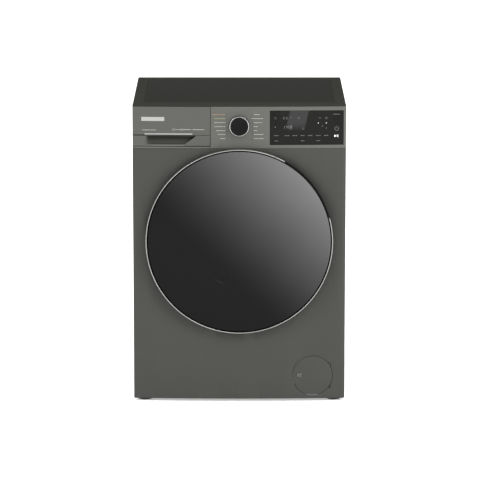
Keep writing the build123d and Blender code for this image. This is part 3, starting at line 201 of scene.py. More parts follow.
def tube_mesh(name, path, radius, sides):
    """Tube along a path of points.

    Rings stand square to the path. Each ring's first direction is the one before it, less its part
    along the path, so that the tube doesn't twist.
    """
    along = np.gradient(path, axis=0)
    along /= np.linalg.norm(along, axis=1)[:, None]
    across = np.empty_like(along)
    guide = np.array([0, 1, 0.0]) if abs(along[0][1]) < 0.9 else np.array([1, 0, 0.0])
    for index, direction in enumerate(along):
        guide = guide - direction * (guide @ direction)
        guide /= np.linalg.norm(guide)
        across[index] = guide
    beside = np.cross(along, across)
    angles = np.linspace(0, 2 * np.pi, sides, endpoint=False)
    cos, sin = np.cos(angles)[:, None], np.sin(angles)[:, None]
    points = path[:, None] + (cos * across[:, None] + sin * beside[:, None]) * radius
    mesh = mesh_from(name, points, quads(len(path), sides, close_columns=True))
    cap_ends(mesh)
    close_up(mesh)
    return mesh


def joined(name, meshes):
    """One closed-up mesh from several."""
    whole = bpy.data.meshes.new(name)
    with editing(whole) as bm:
        for mesh in meshes:
            bm.from_mesh(mesh)
            bpy.data.meshes.remove(mesh)
    close_up(whole)
    return whole


def softened(node, edge=0.0005, smooth=32.0, bowed=False):
    """Copy of a CAD node with merged points, flat faces joined and sharp edges rounded.

    On a bowed piece the front's normals are those of the arc itself, so that its long facets
    don't show.
    """
    name = node + "_skin"
    mesh = bpy.data.meshes.new(name)
    with editing(mesh) as bm:
        bm.from_mesh(nodes[node].data)
        bmesh.ops.remove_doubles(bm, verts=bm.verts, dist=1e-6)
        bmesh.ops.dissolve_degenerate(bm, edges=bm.edges, dist=1e-6)
        flat = math.radians(0.3)
        bmesh.ops.dissolve_limit(bm, angle_limit=flat, verts=bm.verts, edges=bm.edges)
        sharp = [
            part
            for part in bm.edges
            if len(part.link_faces) == 2 and part.calc_face_angle() > math.radians(smooth)
        ]
        bmesh.ops.bevel(bm, geom=sharp, offset=edge, segments=2, profile=0.5, affect="EDGES")
    place(name, mesh, finish_of[node], body_of_node[node], (node,), smooth)
    if bowed:
        follow_bow(mesh)


def follow_bow(mesh):
    """Sets the normals of faces that lie along the bowed front to those of its arc."""
    corners = numbers(mesh.loops, "vertex_index", 1, np.int32)[:, 0]
    x = numbers(mesh.vertices, "co")[corners, 0]
    sides = numbers(mesh.polygons, "loop_total", 1, np.int32)[:, 0]
    flat = np.repeat(numbers(mesh.polygon_normals, "vector"), sides, axis=0)
    arc = np.stack([x, -np.sqrt(bow_radius**2 - x**2), np.zeros_like(x)], axis=1) / bow_radius
    match = np.einsum("ij,ij->i", flat, arc)[:, None]
    on_front = np.abs(match) > math.cos(math.radians(3.5))
    wanted = np.where(on_front, arc * np.sign(match), numbers(mesh.corner_normals, "vector"))
    mesh.normals_split_custom_set(wanted.tolist())


# ---- Materials
class Finish:
    """A new node material around one Principled shader, built step by step."""

    def __init__(self, name, **sockets):
        self.material = bpy.data.materials.new(name)
        self.material.use_nodes = True
        self.tree = self.material.node_tree
        self.shader = self.tree.nodes["Principled BSDF"]
        for socket, value in sockets.items():
            self.shader.inputs[socket.replace("_", " ")].default_value = value
        self.place = self.tree.nodes.new("ShaderNodeTexCoord").outputs["Object"]

    def node(self, kind, **links):
        """New node whose inputs take links or values."""
        made = self.tree.nodes.new(kind)
        for socket, value in links.items():
            self.set(made, socket.replace("_", " "), value)
        return made

    def set(self, made, socket, value):
        target = made.inputs[socket]
        if isinstance(value, bpy.types.NodeSocket):
            self.tree.links.new(value, target)
        else:
            target.default_value = value

    def maths(self, operation, *values):
        """Result of one sum on links and values, such as ADD or POWER."""
        made = self.tree.nodes.new("ShaderNodeMath")
        made.operation = operation
        for index, value in enumerate(values):
            self.set(made, index, value)
        return made.outputs[0]

    def axes(self):
        """Object coordinates taken apart into X, Y and Z."""
        return self.node("ShaderNodeSeparateXYZ", Vector=self.place).outputs

    def stretched(self, scale):
        """Object coordinates multiplied along X, Y and Z."""
        return self.node("ShaderNodeMapping", Vector=self.place, Scale=scale).outputs["Vector"]

    def noise(self, scale, detail=2.0, vector=None):
        return self.node(
            "ShaderNodeTexNoise", Vector=vector or self.place, Scale=scale, Detail=detail
        ).outputs["Fac"]

    def spread(self, value, low, high, start=0.3, stop=0.7):
        """Maps a pattern's start to stop onto low to high."""
        ends = {"From_Min": start, "From_Max": stop, "To_Min": low, "To_Max": high}
        return self.node("ShaderNodeMapRange", Value=value, **ends).outputs["Result"]

    def blend(self, factor, first, second):
        """Colour from first to second as the factor goes from 0 to 1."""
        made = self.tree.nodes.new("ShaderNodeMix")
        made.data_type = "RGBA"
        self.tree.links.new(factor, made.inputs["Factor"])
        for socket, value in ((6, first), (7, second)):
            linked = isinstance(value, bpy.types.NodeSocket)
            self.set(made, socket, value if linked else (*value, 1))
        return made.outputs[2]

    def mottled(self, pattern, colour, dark, pale, start=0.3, stop=0.7):
        """The colour times dark where the pattern is low, to times pale where it is high."""
        ends = [tuple(part * factor for part in colour) for factor in (dark, pale)]
        return self.blend(self.spread(pattern, 0, 1, start, stop), *ends)

    def done(self, colour, rough=None, height=None, depth=0.0):
        """The material, with its colour, its roughness and a bump of depth metres linked in."""
        self.set(self.shader, "Base Color", colour)
        if rough:
            self.set(self.shader, "Roughness", rough)
        if height:
            bump = self.node("ShaderNodeBump", Height=height, Distance=depth, Strength=1.0)
            self.set(self.shader, "Normal", bump.outputs["Normal"])
        return self.material


def metallic_paint(name, colour):
    """Sprayed paint with fine metal flakes, orange peel and slow patches of tone."""
    made = Finish(name, Metallic=0.3, Specular_IOR_Level=0.06)
    flakes = made.noise(5200.0, 1.0)
    patches = made.noise(5.0, 2.0)
    tone = made.mottled(patches, colour, 0.97, 1.03)
    sparkle = made.mottled(flakes, colour, 0.86, 1.22, 0.35, 0.75)
    return made.done(
        made.blend(made.spread(flakes, 0.25, 0.75), tone, sparkle),
        made.spread(flakes, 0.44, 0.58),
        made.noise(700.0, 2.0), 0.00002,
    )


def moulded(name, colour, roughness, grain=1800.0, depth=0.00003, variation=0.04):
    """Moulded plastic: fine eroded grain, soft patches in tone and in gloss."""
    made = Finish(name)
    patches = made.noise(9.0, 3.0)
    grit = made.noise(grain, 3.0)
    tone = made.mottled(patches, colour, 1 - variation, 1 + variation)
    return made.done(
        made.blend(made.spread(grit, 0, 0.5), tone, tuple(0.85 * part for part in colour)),
        made.spread(patches, roughness - 0.05, roughness + 0.06),
        grit, depth,
    )


def gloss_black(name, colour, roughness=0.16):
    """Polished black plastic with faint haze and hairline scuffs."""
    made = Finish(name, Specular_IOR_Level=0.04)
    haze = made.noise(30.0, 4.0)
    hair = made.noise(60.0, 2.0, made.stretched((1.0, 1.0, 30.0)))
    return made.done(
        made.mottled(haze, colour, 1, 1.35),
        made.spread(haze, roughness, roughness + 0.07),
        hair, 0.000004,
    )


def brushed(name, colour, roughness, stretch):
    """Brushed or drawn metal: fine streaks along one axis, with slow patches of gloss."""
    made = Finish(name, Metallic=1.0)
    streaks = made.noise(40.0, 3.0, made.stretched(stretch))
    patches = made.noise(14.0, 2.0)
    return made.done(
        made.mottled(streaks, colour, 0.84, 1.16),
        made.spread(patches, roughness - 0.06, roughness + 0.08),
        streaks, 0.00001,
    )


def zinc_sheet(name):
    """Galvanised sheet: fine crystals of slightly different grey and gloss, and rolling marks."""
    made = Finish(name, Metallic=0.85)
    cells = made.node("ShaderNodeTexVoronoi", Vector=made.place, Scale=320.0)
    grey = made.node("ShaderNodeRGBToBW", Color=cells.outputs["Color"]).outputs["Val"]
    crystals = made.spread(grey, 0, 1, 0.0, 1.0)
    return made.done(
        made.blend(crystals, (0.235, 0.24, 0.245), (0.30, 0.305, 0.31)),
        made.spread(grey, 0.42, 0.54, 0.0, 1.0),
        made.noise(50.0, 3.0, made.stretched((40.0, 40.0, 1.0))), 0.00001,
    )


def rubber(name, colour):
    """Moulded rubber with a dusty bloom and a fine matt skin."""
    made = Finish(name, Specular_IOR_Level=0.35)
    bloom = made.noise(40.0, 4.0)
    skin = made.noise(1500.0, 2.0)
    return made.done(
        made.mottled(bloom, colour, 0.88, 1.15),
        made.spread(skin, 0.54, 0.72),
        skin, 0.00003,
    )


def cast_metal(name, colour):
    """Die cast alloy: pebbled skin with darker pits."""
    made = Finish(name, Metallic=0.9)
    skin = made.noise(420.0, 4.0)
    patches = made.noise(20.0, 2.0)
    return made.done(
        made.mottled(patches, colour, 0.85, 1.1),
        made.spread(skin, 0.4, 0.62),
        skin, 0.00008,
    )


def cast_concrete(name):
    """Cast concrete: sandy tone, darker damp patches and open pores."""
    made = Finish(name, Specular_IOR_Level=0.25)
    patches = made.noise(14.0, 4.0)
    sand = made.noise(900.0, 3.0)
    pores = made.node("ShaderNodeTexVoronoi", Vector=made.place, Scale=260.0).outputs["Distance"]
    tone = made.blend(made.spread(patches, 0, 1), (0.33, 0.32, 0.29), (0.48, 0.47, 0.43))
    return made.done(
        made.blend(made.spread(sand, 0, 0.6), tone, (0.26, 0.25, 0.22)),
        made.spread(sand, 0.8, 0.95),
        made.spread(pores, 0, 1, 0.0, 0.25), 0.0004,
    )


def smoked_glass_with_painted_reflection(name, middle_z):
    """Dark coated glass: black below, and paler towards its upper right, where a painted reflection
    stands in for the soft light it mirrors.

    With t the sum of the distances right of and above the middle plus reach, its tone is
    darkest + reflection_gain t^power, and darkest where t is below 0.
    """
    reach, reflection_gain, power, darkest = 0.14, 0.32, 1.74, 0.0049
    made = Finish(name, Specular_IOR_Level=0.05)
    axes = made.axes()
    t = made.maths("ADD", made.maths("ADD", axes["X"], axes["Z"]), reach - middle_z)
    cloud = made.spread(made.noise(7.0, 2.0), -0.006, 0.006)
    t = made.maths("MAXIMUM", made.maths("ADD", t, cloud), 0.0)
    # painted reflection: the tone grows paler towards the upper right
    tone = made.maths("MULTIPLY_ADD", made.maths("POWER", t, power), reflection_gain, darkest)
    return made.done(
        made.blend(tone, (0.0, 0.0, 0.0), (1.0, 1.0, 1.0)),
        made.spread(made.noise(90.0, 3.0), 0.10, 0.16),
        made.noise(12.0, 1.0), 0.00002,
    )


def pressed_glass(name):
    """Clear pressed glass with slow waves and a faint green tint."""
    made = Finish(name, Transmission_Weight=0.92, IOR=1.48, Roughness=0.03)
    waves = made.noise(18.0, 2.0)
    return made.done(
        made.blend(made.spread(waves, 0, 1), (0.86, 0.90, 0.89), (0.93, 0.95, 0.94)),
        made.spread(waves, 0.02, 0.06),
        waves, 0.0003,
    )


def display_glass(name, top_z):
    """Smoked display cover: near black with a paler slanted field.

    The field's edges lean to the left by slope times the depth below the lid's top.
    """
    made = Finish(name, Specular_IOR_Level=0.04)
    axes = made.axes()
    slope, right_edge = 0.23, 0.1965
    lean = made.maths("MULTIPLY_ADD", axes["Z"], slope, right_edge - slope * top_z)
    along = made.maths("SUBTRACT", axes["X"], lean)
    left = made.spread(along, 0, 1, -0.053, -0.050)
    right = made.spread(along, 1, 0, 0.0, 0.002)
    down = made.spread(axes["Z"], 0, 1, top_z - 0.072, top_z - 0.050)
    field = made.maths("MULTIPLY", made.maths("MULTIPLY", left, right), down)
    dust = made.noise(200.0, 3.0)
    base = made.blend(made.spread(dust, 0, 1), (0.008, 0.008, 0.0072), (0.0105, 0.0105, 0.0095))
    return made.done(
        made.blend(field, base, (0.026, 0.0265, 0.026)),
        made.spread(dust, 0.10, 0.16),
        made.noise(40.0, 1.0), 0.000006,
    )


def printed(name, colour, glow):
    """Screen printed ink with a slightly broken tone, also used for painted shadow and highlight
    marks, or a lit mark where glow is above 0.
    """
    made = Finish(name, Emission_Strength=glow, Roughness=0.45, Specular_IOR_Level=0.08)
    made.shader.inputs["Emission Color"].default_value = (*colour, 1)
    speckle = made.noise(3000.0, 2.0)
    return made.done(made.mottled(speckle, colour, 0.85, 1.05))


def circuit_board(name):
    """Green board with paler traces under its lacquer."""
    made = Finish(name, Roughness=0.35)
    cells = made.node("ShaderNodeTexVoronoi", Vector=made.place, Scale=120.0)
    cells.feature = "DISTANCE_TO_EDGE"
    lines = made.spread(cells.outputs["Distance"], 1, 0, 0.03, 0.06)
    return made.done(
        made.blend(lines, (0.015, 0.09, 0.035), (0.06, 0.20, 0.06)),
        height=lines, depth=0.00005,
    )


def chrome_plate(name):
    """Bright plating over plastic, with a trace of haze."""
    made = Finish(name, Metallic=1.0)
    haze = made.noise(60.0, 3.0)
    return made.done(
        made.blend(made.spread(haze, 0, 1), (0.27, 0.27, 0.265), (0.33, 0.33, 0.325)),
        made.spread(haze, 0.10, 0.18),
        haze, 0.000004,
    )


def lid_plastic(name, top_z):
    """Textured lid, whose rim stands above the sunk middle; the sunk middle is painted darker than
    the rim, as painted shade.
    """
    made = Finish(name, Specular_IOR_Level=0.0)
    grit = made.noise(900.0, 3.0)
    # painted shade: darker below the rim's height, in the sunk middle
    rim = made.spread(made.axes()["Z"], 0, 1, top_z - 0.0012, top_z - 0.0002)
    tone = made.blend(rim, (0.0245, 0.0252, 0.0227), (0.029, 0.0298, 0.0258))
    return made.done(
        made.blend(made.spread(grit, 0, 0.5), tone, (0.020, 0.0205, 0.0185)),
        made.spread(made.noise(9.0, 3.0), 0.55, 0.7),
        grit, 0.00006,
    )


finishes = {
    "body_paint": metallic_paint("cabinet_paint", (0.044, 0.0447, 0.041)),
    "lid_paint": lid_plastic("lid_plastic", lid_top),
    "fascia_plastic": metallic_paint("fascia_paint", (0.081, 0.082, 0.0745)),
    "black_plastic": gloss_black("black_trim", (0.0045, 0.0045, 0.0045)),
    "dark_plastic": moulded("dark_plastic", (0.022, 0.022, 0.021), 0.5),
    "display": display_glass("display_cover", lid_top),
    "board": circuit_board("circuit_board"),
    "chrome": chrome_plate("chrome_plate"),
    "silver_trim": brushed("satin_trim", (0.27, 0.27, 0.262), 0.38, (40.0, 1.0, 40.0)),
    "door_glass": smoked_glass_with_painted_reflection("smoked_glass_with_painted_reflection", door_z),
    "bowl_glass": pressed_glass("pressed_glass"),
    "zinc_steel": zinc_sheet("galvanised_steel"),
    "drum_steel": brushed("drum_steel", (0.60, 0.61, 0.62), 0.24, (60.0, 1.0, 60.0)),
    "grey_rubber": rubber("gasket_rubber", (0.21, 0.215, 0.215)),
    "black_rubber": rubber("black_rubber", (0.018, 0.018, 0.018)),
    "tub_plastic": moulded("tub_plastic", (0.46, 0.46, 0.43), 0.6, 500.0, 0.0001, 0.07),
    "white_plastic": moulded("white_plastic", (0.72, 0.72, 0.69), 0.4, 1500.0),
    "cast_alloy": cast_metal("cast_alloy", (0.45, 0.46, 0.47)),
    "concrete": cast_concrete("concrete"),
    "bearing_steel": brushed("ground_steel", (0.50, 0.51, 0.52), 0.2, (1.0, 50.0, 1.0)),
    # painted shade: a darker copy of the fascia paint, standing in for the shade on the fascia's
    # left end
    "drawer_paint": metallic_paint("drawer_paint", (0.069, 0.070, 0.0635)),
}
inks_and_painted_light = {
    "pale_print": (0.30, 0.305, 0.285),
    "dark_print": (0.028, 0.028, 0.026),
    "orange_print": (0.26, 0.155, 0.085),
    "green_print": (0.22, 0.25, 0.115),
    "lit_mark": (0.70, 0.71, 0.70),
    "half_lit_mark": (0.17, 0.172, 0.17),
    "dim_mark": (0.105, 0.107, 0.105),
    # painted shadow: black of the lines under the drawer's strip and in its seam
    "painted_shadow_black": (0.006, 0.006, 0.006),
    # painted highlight: paler tone of the drawer's lower lip
    "lip_highlight_paint": (0.125, 0.127, 0.117),
    "satin_plate": (0.27, 0.273, 0.26),
    # painted highlight: tone of the glints on the door glass
    "painted_glint_tone": (0.0095, 0.0095, 0.0095),
}
glows = {"lit_mark": 0.35, "half_lit_mark": 0.03, "dim_mark": 0.02}
finishes |= {name: printed(name, ink, glows.get(name, 0.0)) for name, ink in inks_and_painted_light.items()}

for name, node in nodes.items():
    node.data.materials.clear()
    node.data.materials.append(finishes[slot_of[name]])

# ---- Cabinet skins
finish_of = slot_of | {
    # painted shade: the drawer front takes the darker copy of the fascia paint
    "drawer_front": "drawer_paint",
    "filter_hatch": "body_paint",
    "door_lock": "dark_plastic",
}
softened("side_panel_left", 0.0009)
softened("side_panel_right", 0.0009)
for node, edge in (
    ("front_panel", 0.0009), ("top_lid", 0.0012), ("control_panel", 0.0005),
    ("drawer_front", 0.0007), ("display_window", 0.0004), ("drawer_strip", 0.0002),
    ("filter_hatch", 0.0006),
):
    softened(node, edge, bowed=True)
for node in (
    "rear_panel", "rear_cover", "base_pan", "front_brace", "dispenser_housing", "drawer_tray",
    "door_frame", "hinge_bracket", "hinge_arm", "latch_hook", "inlet_valve", "mains_gland",
    "drain_hose", "filter_housing", "pump_filter", "drain_pump", "motor_housing",
    "counterweight_top", "counterweight_front", "drum_spider", "drum_lifters", "tub_front",
    "tub_rear", "door_inner_ring",
):
    softened(node)


# ---- Drawer grip
def shell(name, outer, inner):
    """Closed shell between two grids of points with the same rows and columns.

    The two grids are joined round their border, so that the shell has no open edge.
    """
    rows, columns = outer.shape[:2]
    points = np.concatenate([outer.reshape(-1, 3), inner.reshape(-1, 3)])
    sheet = quads(rows, columns)
    r, c = np.arange(rows), np.arange(columns)
    last = rows * columns - 1
    border = [c[:-1], r[:-1] * columns + columns - 1, last - c[:-1], (rows - 1 - r[:-1]) * columns]
    border = np.concatenate(border)
    ahead = np.roll(border, -1)
    rim = np.stack([border, ahead, ahead + rows * columns, border + rows * columns], axis=1)
    mesh = mesh_from(name, points, np.concatenate([sheet, sheet[:, ::-1] + rows * columns, rim]))
    close_up(mesh)
    return mesh


def ease(t):
    """Smooth step from 0 to 1: 3 t squared less 2 t cubed, held flat outside 0 to 1."""
    t = np.clip(t, 0, 1)
    return t * t * (3 - 2 * t)


strip_low, strip_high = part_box("drawer_strip")
scoop_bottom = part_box("drawer_grip")[0][2] + 0.001
scoop_top = strip_low[2] - 0.0035
scoop_left = strip_low[0] + 0.0018
scoop_right = strip_high[0] + 0.0102
scoop_slant = 0.0270
scoop_depth = 0.0122
scoop_wall = 0.0012


def scoop_painted_shade_finish(name):
    """Paint with painted shade: darker up towards the strip, under its shadow, and away from the
    scoop's shallow left end, deeper in the pocket.
    """
    made = Finish(name, Metallic=0.2, Specular_IOR_Level=0.05)
    axes = made.axes()
    grit = made.noise(700.0, 2.0)
    soft = made.spread(made.noise(60.0, 2.0), -0.0008, 0.0008)
    # painted shade: near black up under the strip, and darker past the shallow left end
    high = made.spread(made.maths("ADD", axes["Z"], soft), 0, 1, scoop_bottom, scoop_top)
    shade_past_left_end = made.spread(axes["X"], 0, 1, scoop_left - 0.001, scoop_left + 0.010)
    tone = made.blend(high, (0.046, 0.0465, 0.042), (0.007, 0.007, 0.006))
    return made.done(
        made.blend(shade_past_left_end, (0.070, 0.071, 0.065), tone),
        made.spread(grit, 0.45, 0.6),
        grit, 0.00002,
    )


def grip_scoop():
    """Finger scoop under the strip: it deepens softly from the left and ends at a slanted wall.

    Across it runs from 0 at the left edge to 1 at the slanted right edge, and up from 0 to 1. Its
    depth is that of the pocket times an ease over the first 16 mm, a quarter round over the lower
    part and a steep ease over the last 4 mm.
    """
    across, up = np.meshgrid(np.linspace(0, 1, 90), np.linspace(0, 1, 30), indexing="xy")
    right = scoop_right - scoop_slant * (1 - up)
    x = scoop_left + (right - scoop_left) * across
    z = scoop_bottom + (scoop_top - scoop_bottom) * up
    curve = np.sqrt(1 - (1 - np.clip(up / 0.4, 0, 1)) ** 2)
    depth = scoop_depth * curve * ease((x - scoop_left) / 0.016) * ease((right - x) / 0.004)
    front = np.stack([x, bow(x) + scoop_wall / 2 + depth, z], axis=-1)
    mesh = shell("grip_scoop", front, front + [0, scoop_wall, 0])
    place("grip_scoop", mesh, "scoop_painted_shade", "drawer", ("drawer_grip",), 40)


def open_up_grip():
    """Makes the left edge of the drawer front's cut-out upright, where the scoop starts."""
    mesh = bpy.data.objects["drawer_front_skin"].data
    points = numbers(mesh.vertices, "co")
    corner = np.abs(points[:, (0, 2)] - [scoop_left + 0.014, scoop_bottom])
    near = (corner < [0.005, 0.004]).all(axis=1)
    points[near, 0] -= 0.0138
    mesh.vertices.foreach_set("co", points.ravel())
    mesh.update()


finishes["scoop_painted_shade"] = scoop_painted_shade_finish("scoop_painted_shade")
grip_scoop()
open_up_grip()


# ---- Door
door_centre = (0.0, door_z)
crown_y = glass_low[1]
dome_height = 0.0118
rim_radius = 0.0012
dome_radius = glass_radius - rim_radius
plate_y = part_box("door_frame")[0][1]
ring_front, ring_back = ring_low[1], ring_high[1]
ring_width = 0.0035
ring_inner = ring_radius - ring_width


def crown_profile(radius, height, front, steps=40):
    """Profile of a shallow dome: depth is that of a circle through its middle and its edge."""
    curve = (radius**2 + height**2) / (2 * height)
    r = np.linspace(0, radius, steps)
    return np.stack([r, front + curve - np.sqrt(curve**2 - r**2)], axis=1)


def door_glass():
    """Domed outer glass with a rounded rim and a plain back."""
    dome = crown_profile(dome_radius, dome_height, crown_y)
    edge = dome[-1, 1]
    turn = np.radians(np.linspace(10, 90, 6))
    rim_r = dome_radius + rim_radius * np.sin(turn)
    rim = np.stack([rim_r, edge + rim_radius * (1 - np.cos(turn))], axis=1)
    back = [[glass_radius, edge + 0.004], [glass_radius * 0.5, edge - 0.004], [0, edge - 0.007]]
    profile = np.vstack([dome, rim, back])
    turned("glass_dome", profile, door_centre, "door_glass", "door", ("door_glass",),
           closed=False, steps=256, smooth=50)


def painted_bowl_glints():
    """Painted highlights: faint crescents where the bowl's lit rim shows through the glass, alike
    on both sides.

    A crescent follows a straight line from end to end, and its half width swells as the sine of the
    way along, pushed towards the inner end. It lies on the dome, whose depth is that of its circle.
    """
    curve = (dome_radius**2 + dome_height**2) / (2 * dome_height)
    lines = (
        (0.0896, -0.097, 0.0392, -0.1185, 0.0019),
        (0.0610, -0.079, 0.0400, -0.0915, 0.0008),
    )
    parts = []
    for side in (-1, 1):
        for x0, z0, x1, z1, wide in lines:
            along, across = np.meshgrid(np.linspace(0, 1, 24), np.linspace(-1, 1, 5), indexing="ij")
            swell = wide * np.sin(np.pi * along**2.2)
            x = side * (x0 + (x1 - x0) * along)
            z = z0 + (z1 - z0) * along + swell * across
            depth = curve - np.sqrt(curve**2 - x**2 - z**2)
            front = np.stack([x, crown_y + depth - 0.00012, door_z + z], axis=-1)
            parts.append(shell("painted_glint_patch", front, front + [0, 0.0002, 0]))
    place("painted_bowl_glints", joined("painted_bowl_glints", parts), "painted_glint_tone", "door")


def trim_ring():
    """Satin ring round the glass, open where the handle is."""
    inner, outer = ring_inner + 0.0008, ring_radius
    front, back = ring_front + 0.0004, ring_back
    profile = rounded(
        [(inner, back, 0), (inner, ring_front, 0.0010), (outer, front, 0.0014), (outer, back, 0)]
    )
    turned("trim_ring", profile, door_centre, "silver_trim", "door", ("door_trim_ring",),
           start=75, sweep=314, steps=300)


def handle_grip():
    """Black lip of the grip, which closes the ring's gap."""
    inner, outer = ring_inner + 0.0002, ring_radius - 0.0002
    front, back = ring_front + 0.0002, ring_back - 0.001
    profile = rounded(
        [(inner, back, 0), (inner, front, 0.0012), (outer, front, 0.0014), (outer, back, 0)]
    )
    turned("grip_lip", profile, door_centre, "black_plastic", "handle",
           start=30, sweep=44, steps=60)


def groove_plate():
    """Black plate under the glass's edge, seen as the dark groove inside the ring."""
    inner, outer = 0.2350, ring_inner - 0.0002
    back = plate_y + 0.0025
    profile = rounded(
        [(inner, back, 0), (inner, plate_y, 0), (outer, plate_y, 0.0003), (outer, back, 0)]
    )
    turned("groove_plate", profile, door_centre, "black_plastic", "door",
           start=77, sweep=310, steps=240)


def inner_bowl():
    """Pressed glass bowl that reaches into the drum's mouth, with its flange."""
    low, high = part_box("door_bowl")
    flange = (high[0] - low[0]) / 2
    front, back = low[1] + 0.001, high[1]
    profile = rounded(
        [
            (0, back - 0.006, 0), (0.136, back - 0.006, 0.022), (0.162, front, 0.003),
            (flange, front, 0.0005), (flange, low[1] + 0.0058, 0.0005),
            (0.168, low[1] + 0.006, 0.006), (0.142, back, 0.026), (0, back, 0),
        ],
        8,
    )
    turned("glass_bowl", profile, door_centre, "bowl_glass", "door", ("door_bowl",),
           closed=False, steps=192, smooth=60)


def bellows():
    """Door gasket: lip that meets the bowl, deep fold and the bead on the tub's mouth.

    The fold's radius swings from the opening out to the bulge and back while its depth runs on.
    """
    low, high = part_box("door_gasket")
    front, back = low[1], high[1]
    s = np.linspace(0, 1, 46)
    fold_y = front + 0.008 + (back - 0.006 - front - 0.008) * s
    swell = np.sin(np.pi * s)
    fold_r = 0.1872 + 0.0168 * swell**0.8 - 0.0022 * np.cos(6 * np.pi * s) * swell
    outer = np.stack([fold_r, fold_y], axis=1)
    lip = [
        [0.1832, 0.0055], [0.1760, 0.0034], [0.1672, 0.0024], [0.1665, 0.0012], [0.1675, 0.0002],
        [0.1760, 0.0008], [0.1850, 0.0022], [0.1900, 0.0035], [0.1900, 0.0067],
    ]
    inner = outer[::-1] - [0.0026, 0]
    mouth = [[0.1921, back - 0.0048], [0.1921, back], [0.1895, back]]
    profile = np.vstack([outer, mouth, inner, np.array(lip) + [0, front]])
    turned("bellows", profile, door_centre, "grey_rubber", "cabinet", ("door_gasket",),
           steps=192, smooth=50)


door_glass()
painted_bowl_glints()
trim_ring()
handle_grip()
groove_plate()
inner_bowl()
bellows()


# ---- Drum, springs, hoses and feet
def perforated_drum():
    """Drum shell: a cylinder whose band of holes is open, and the nearly flat front flange.

    The band is tiled with square cells. A cell's outline and its round hole are joined by a ring of
    quads, once on the outside and once on the inside, and the hole's wall joins the two.
    """
    low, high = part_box("drum_shell")
    radius = (high[0] - low[0]) / 2
    wall, mouth, hole = 0.001, 0.182, 0.0026
    bend = low[1] + 0.004
    around, along = 90, 15
    band_low, band_high = bend + 0.030, high[1] - 0.036
    sides = 12
    turn = 2 * np.pi * np.arange(sides) / sides
    square = 1 / np.maximum(np.abs(np.cos(turn)), np.abs(np.sin(turn)))
    cell_u, cell_v = 2 * np.pi / around, (band_high - band_low) / along
    column, row = np.meshgrid(np.arange(around), np.arange(along), indexing="ij")
    middle_a = ((column + 0.5) * cell_u).reshape(-1, 1)
    middle_y = (band_low + (row + 0.5) * cell_v).reshape(-1, 1)
    corner_a = middle_a + np.cos(turn) * square * cell_u / 2
    corner_y = middle_y + np.sin(turn) * square * cell_v / 2
    hole_a = middle_a + np.cos(turn) * hole / radius
    hole_y = middle_y + np.sin(turn) * hole
    rings = [
        np.stack([r * np.sin(a), y, door_z + r * np.cos(a)], axis=-1)
        for a, y, r in (
            (corner_a, corner_y, radius),
            (hole_a, hole_y, radius),
            (hole_a, hole_y, radius - wall),
            (corner_a, corner_y, radius - wall),
        )
    ]
    points = np.stack(rings, axis=1)
    ring, step = np.meshgrid(np.arange(3), np.arange(sides), indexing="ij")
    ahead = (step + 1) % sides
    near, far = ring * sides, (ring + 1) * sides
    tile = np.stack([near + step, near + ahead, far + ahead, far + step], axis=-1).reshape(-1, 4)
    first = np.arange(len(points)) * 4 * sides
    band = mesh_from("drum_band", points, (tile[None] + first[:, None, None]).reshape(-1, 4))
    front = [
        (radius - wall, band_low), (radius - wall, bend + wall),
        (mouth + 0.002, low[1] + 0.0014), (mouth, low[1] + 0.001), (mouth, low[1]),
        (mouth + 0.004, low[1]), (radius - 0.004, bend - 0.0006), (radius - 0.001, bend),
        (radius, bend + 0.003), (radius, band_low),
    ]
    back = [(radius, band_high + rise) for rise in (0, 0.006, 0.009, 0.013, 0.016)]
    back += [(radius, high[1]), (radius - wall, high[1]), (radius - wall, band_high)]
    ends = [
        mesh_from("drum_end", *lathe(profile, door_centre, steps=around * 2))
        for profile in (front, back)
    ]
    sheet = joined("drum_sheet", [band, *ends])
    place("drum_sheet", sheet, "drum_steel", "drum", ("drum_shell",), 30)


def coil_springs():
    """Two coil springs that hold the tub, with hooked ends.

    Along the wire, the turns wind evenly round the axis, and their radius shrinks at both ends into
    a short upright hook.
    """
    low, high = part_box("tub_springs")
    radius, wire, turns = 0.011, 0.0016, 24
    centre_y = (low[1] + high[1]) / 2
    s = np.linspace(0, 1, 900)
    r = (radius - wire) * ease(s / 0.06) * ease((1 - s) / 0.06)
    angle = 2 * np.pi * turns * s
    z = low[2] + wire + (high[2] - low[2] - 2 * wire) * s
    for name, x, replaced in (
        ("left_spring", low[0] + radius, ("tub_springs",)),
        ("right_spring", high[0] - radius, ()),
    ):
        path = np.stack([x + r * np.cos(angle), centre_y + r * np.sin(angle), z], axis=1)
        place(name, tube_mesh(name, path, wire, 8), "zinc_steel", "cabinet", replaced, 60)


perforated_drum()
coil_springs()
softened("door_lock")
for node in (
    "drum_back_plate", "drum_pulley", "drive_belt", "motor_rotor", "heater", "damper_tubes",
    "damper_rods", "drum_bearings", "display_board", "inlet_hose", "dispenser_hose", "sump_hose",
    "foot_front_left", "foot_front_right", "foot_rear_left", "foot_rear_right",
):
    softened(node, 0.0004, 24.0)


# ---- Back: screws, plugs and pressed slots
def scattered(name, profile, spots, finish, steps=20):
    """The same small turned shape at many spots (x, y, z), as one mesh.

    The profile is (radius, height above the spot), with heights towards the back.
    """
    points, faces = lathe(profile, (0.0, 0.0), steps=steps)
    points = points.reshape(-1, 3)
    first = np.arange(len(spots)) * len(points)
    every = points[None] + np.array(spots)[:, None]
    mesh = mesh_from(name, every, (faces[None] + first[:, None, None]).reshape(-1, 4))
    close_up(mesh)
    place(name, mesh, finish, "cabinet", smooth=40)


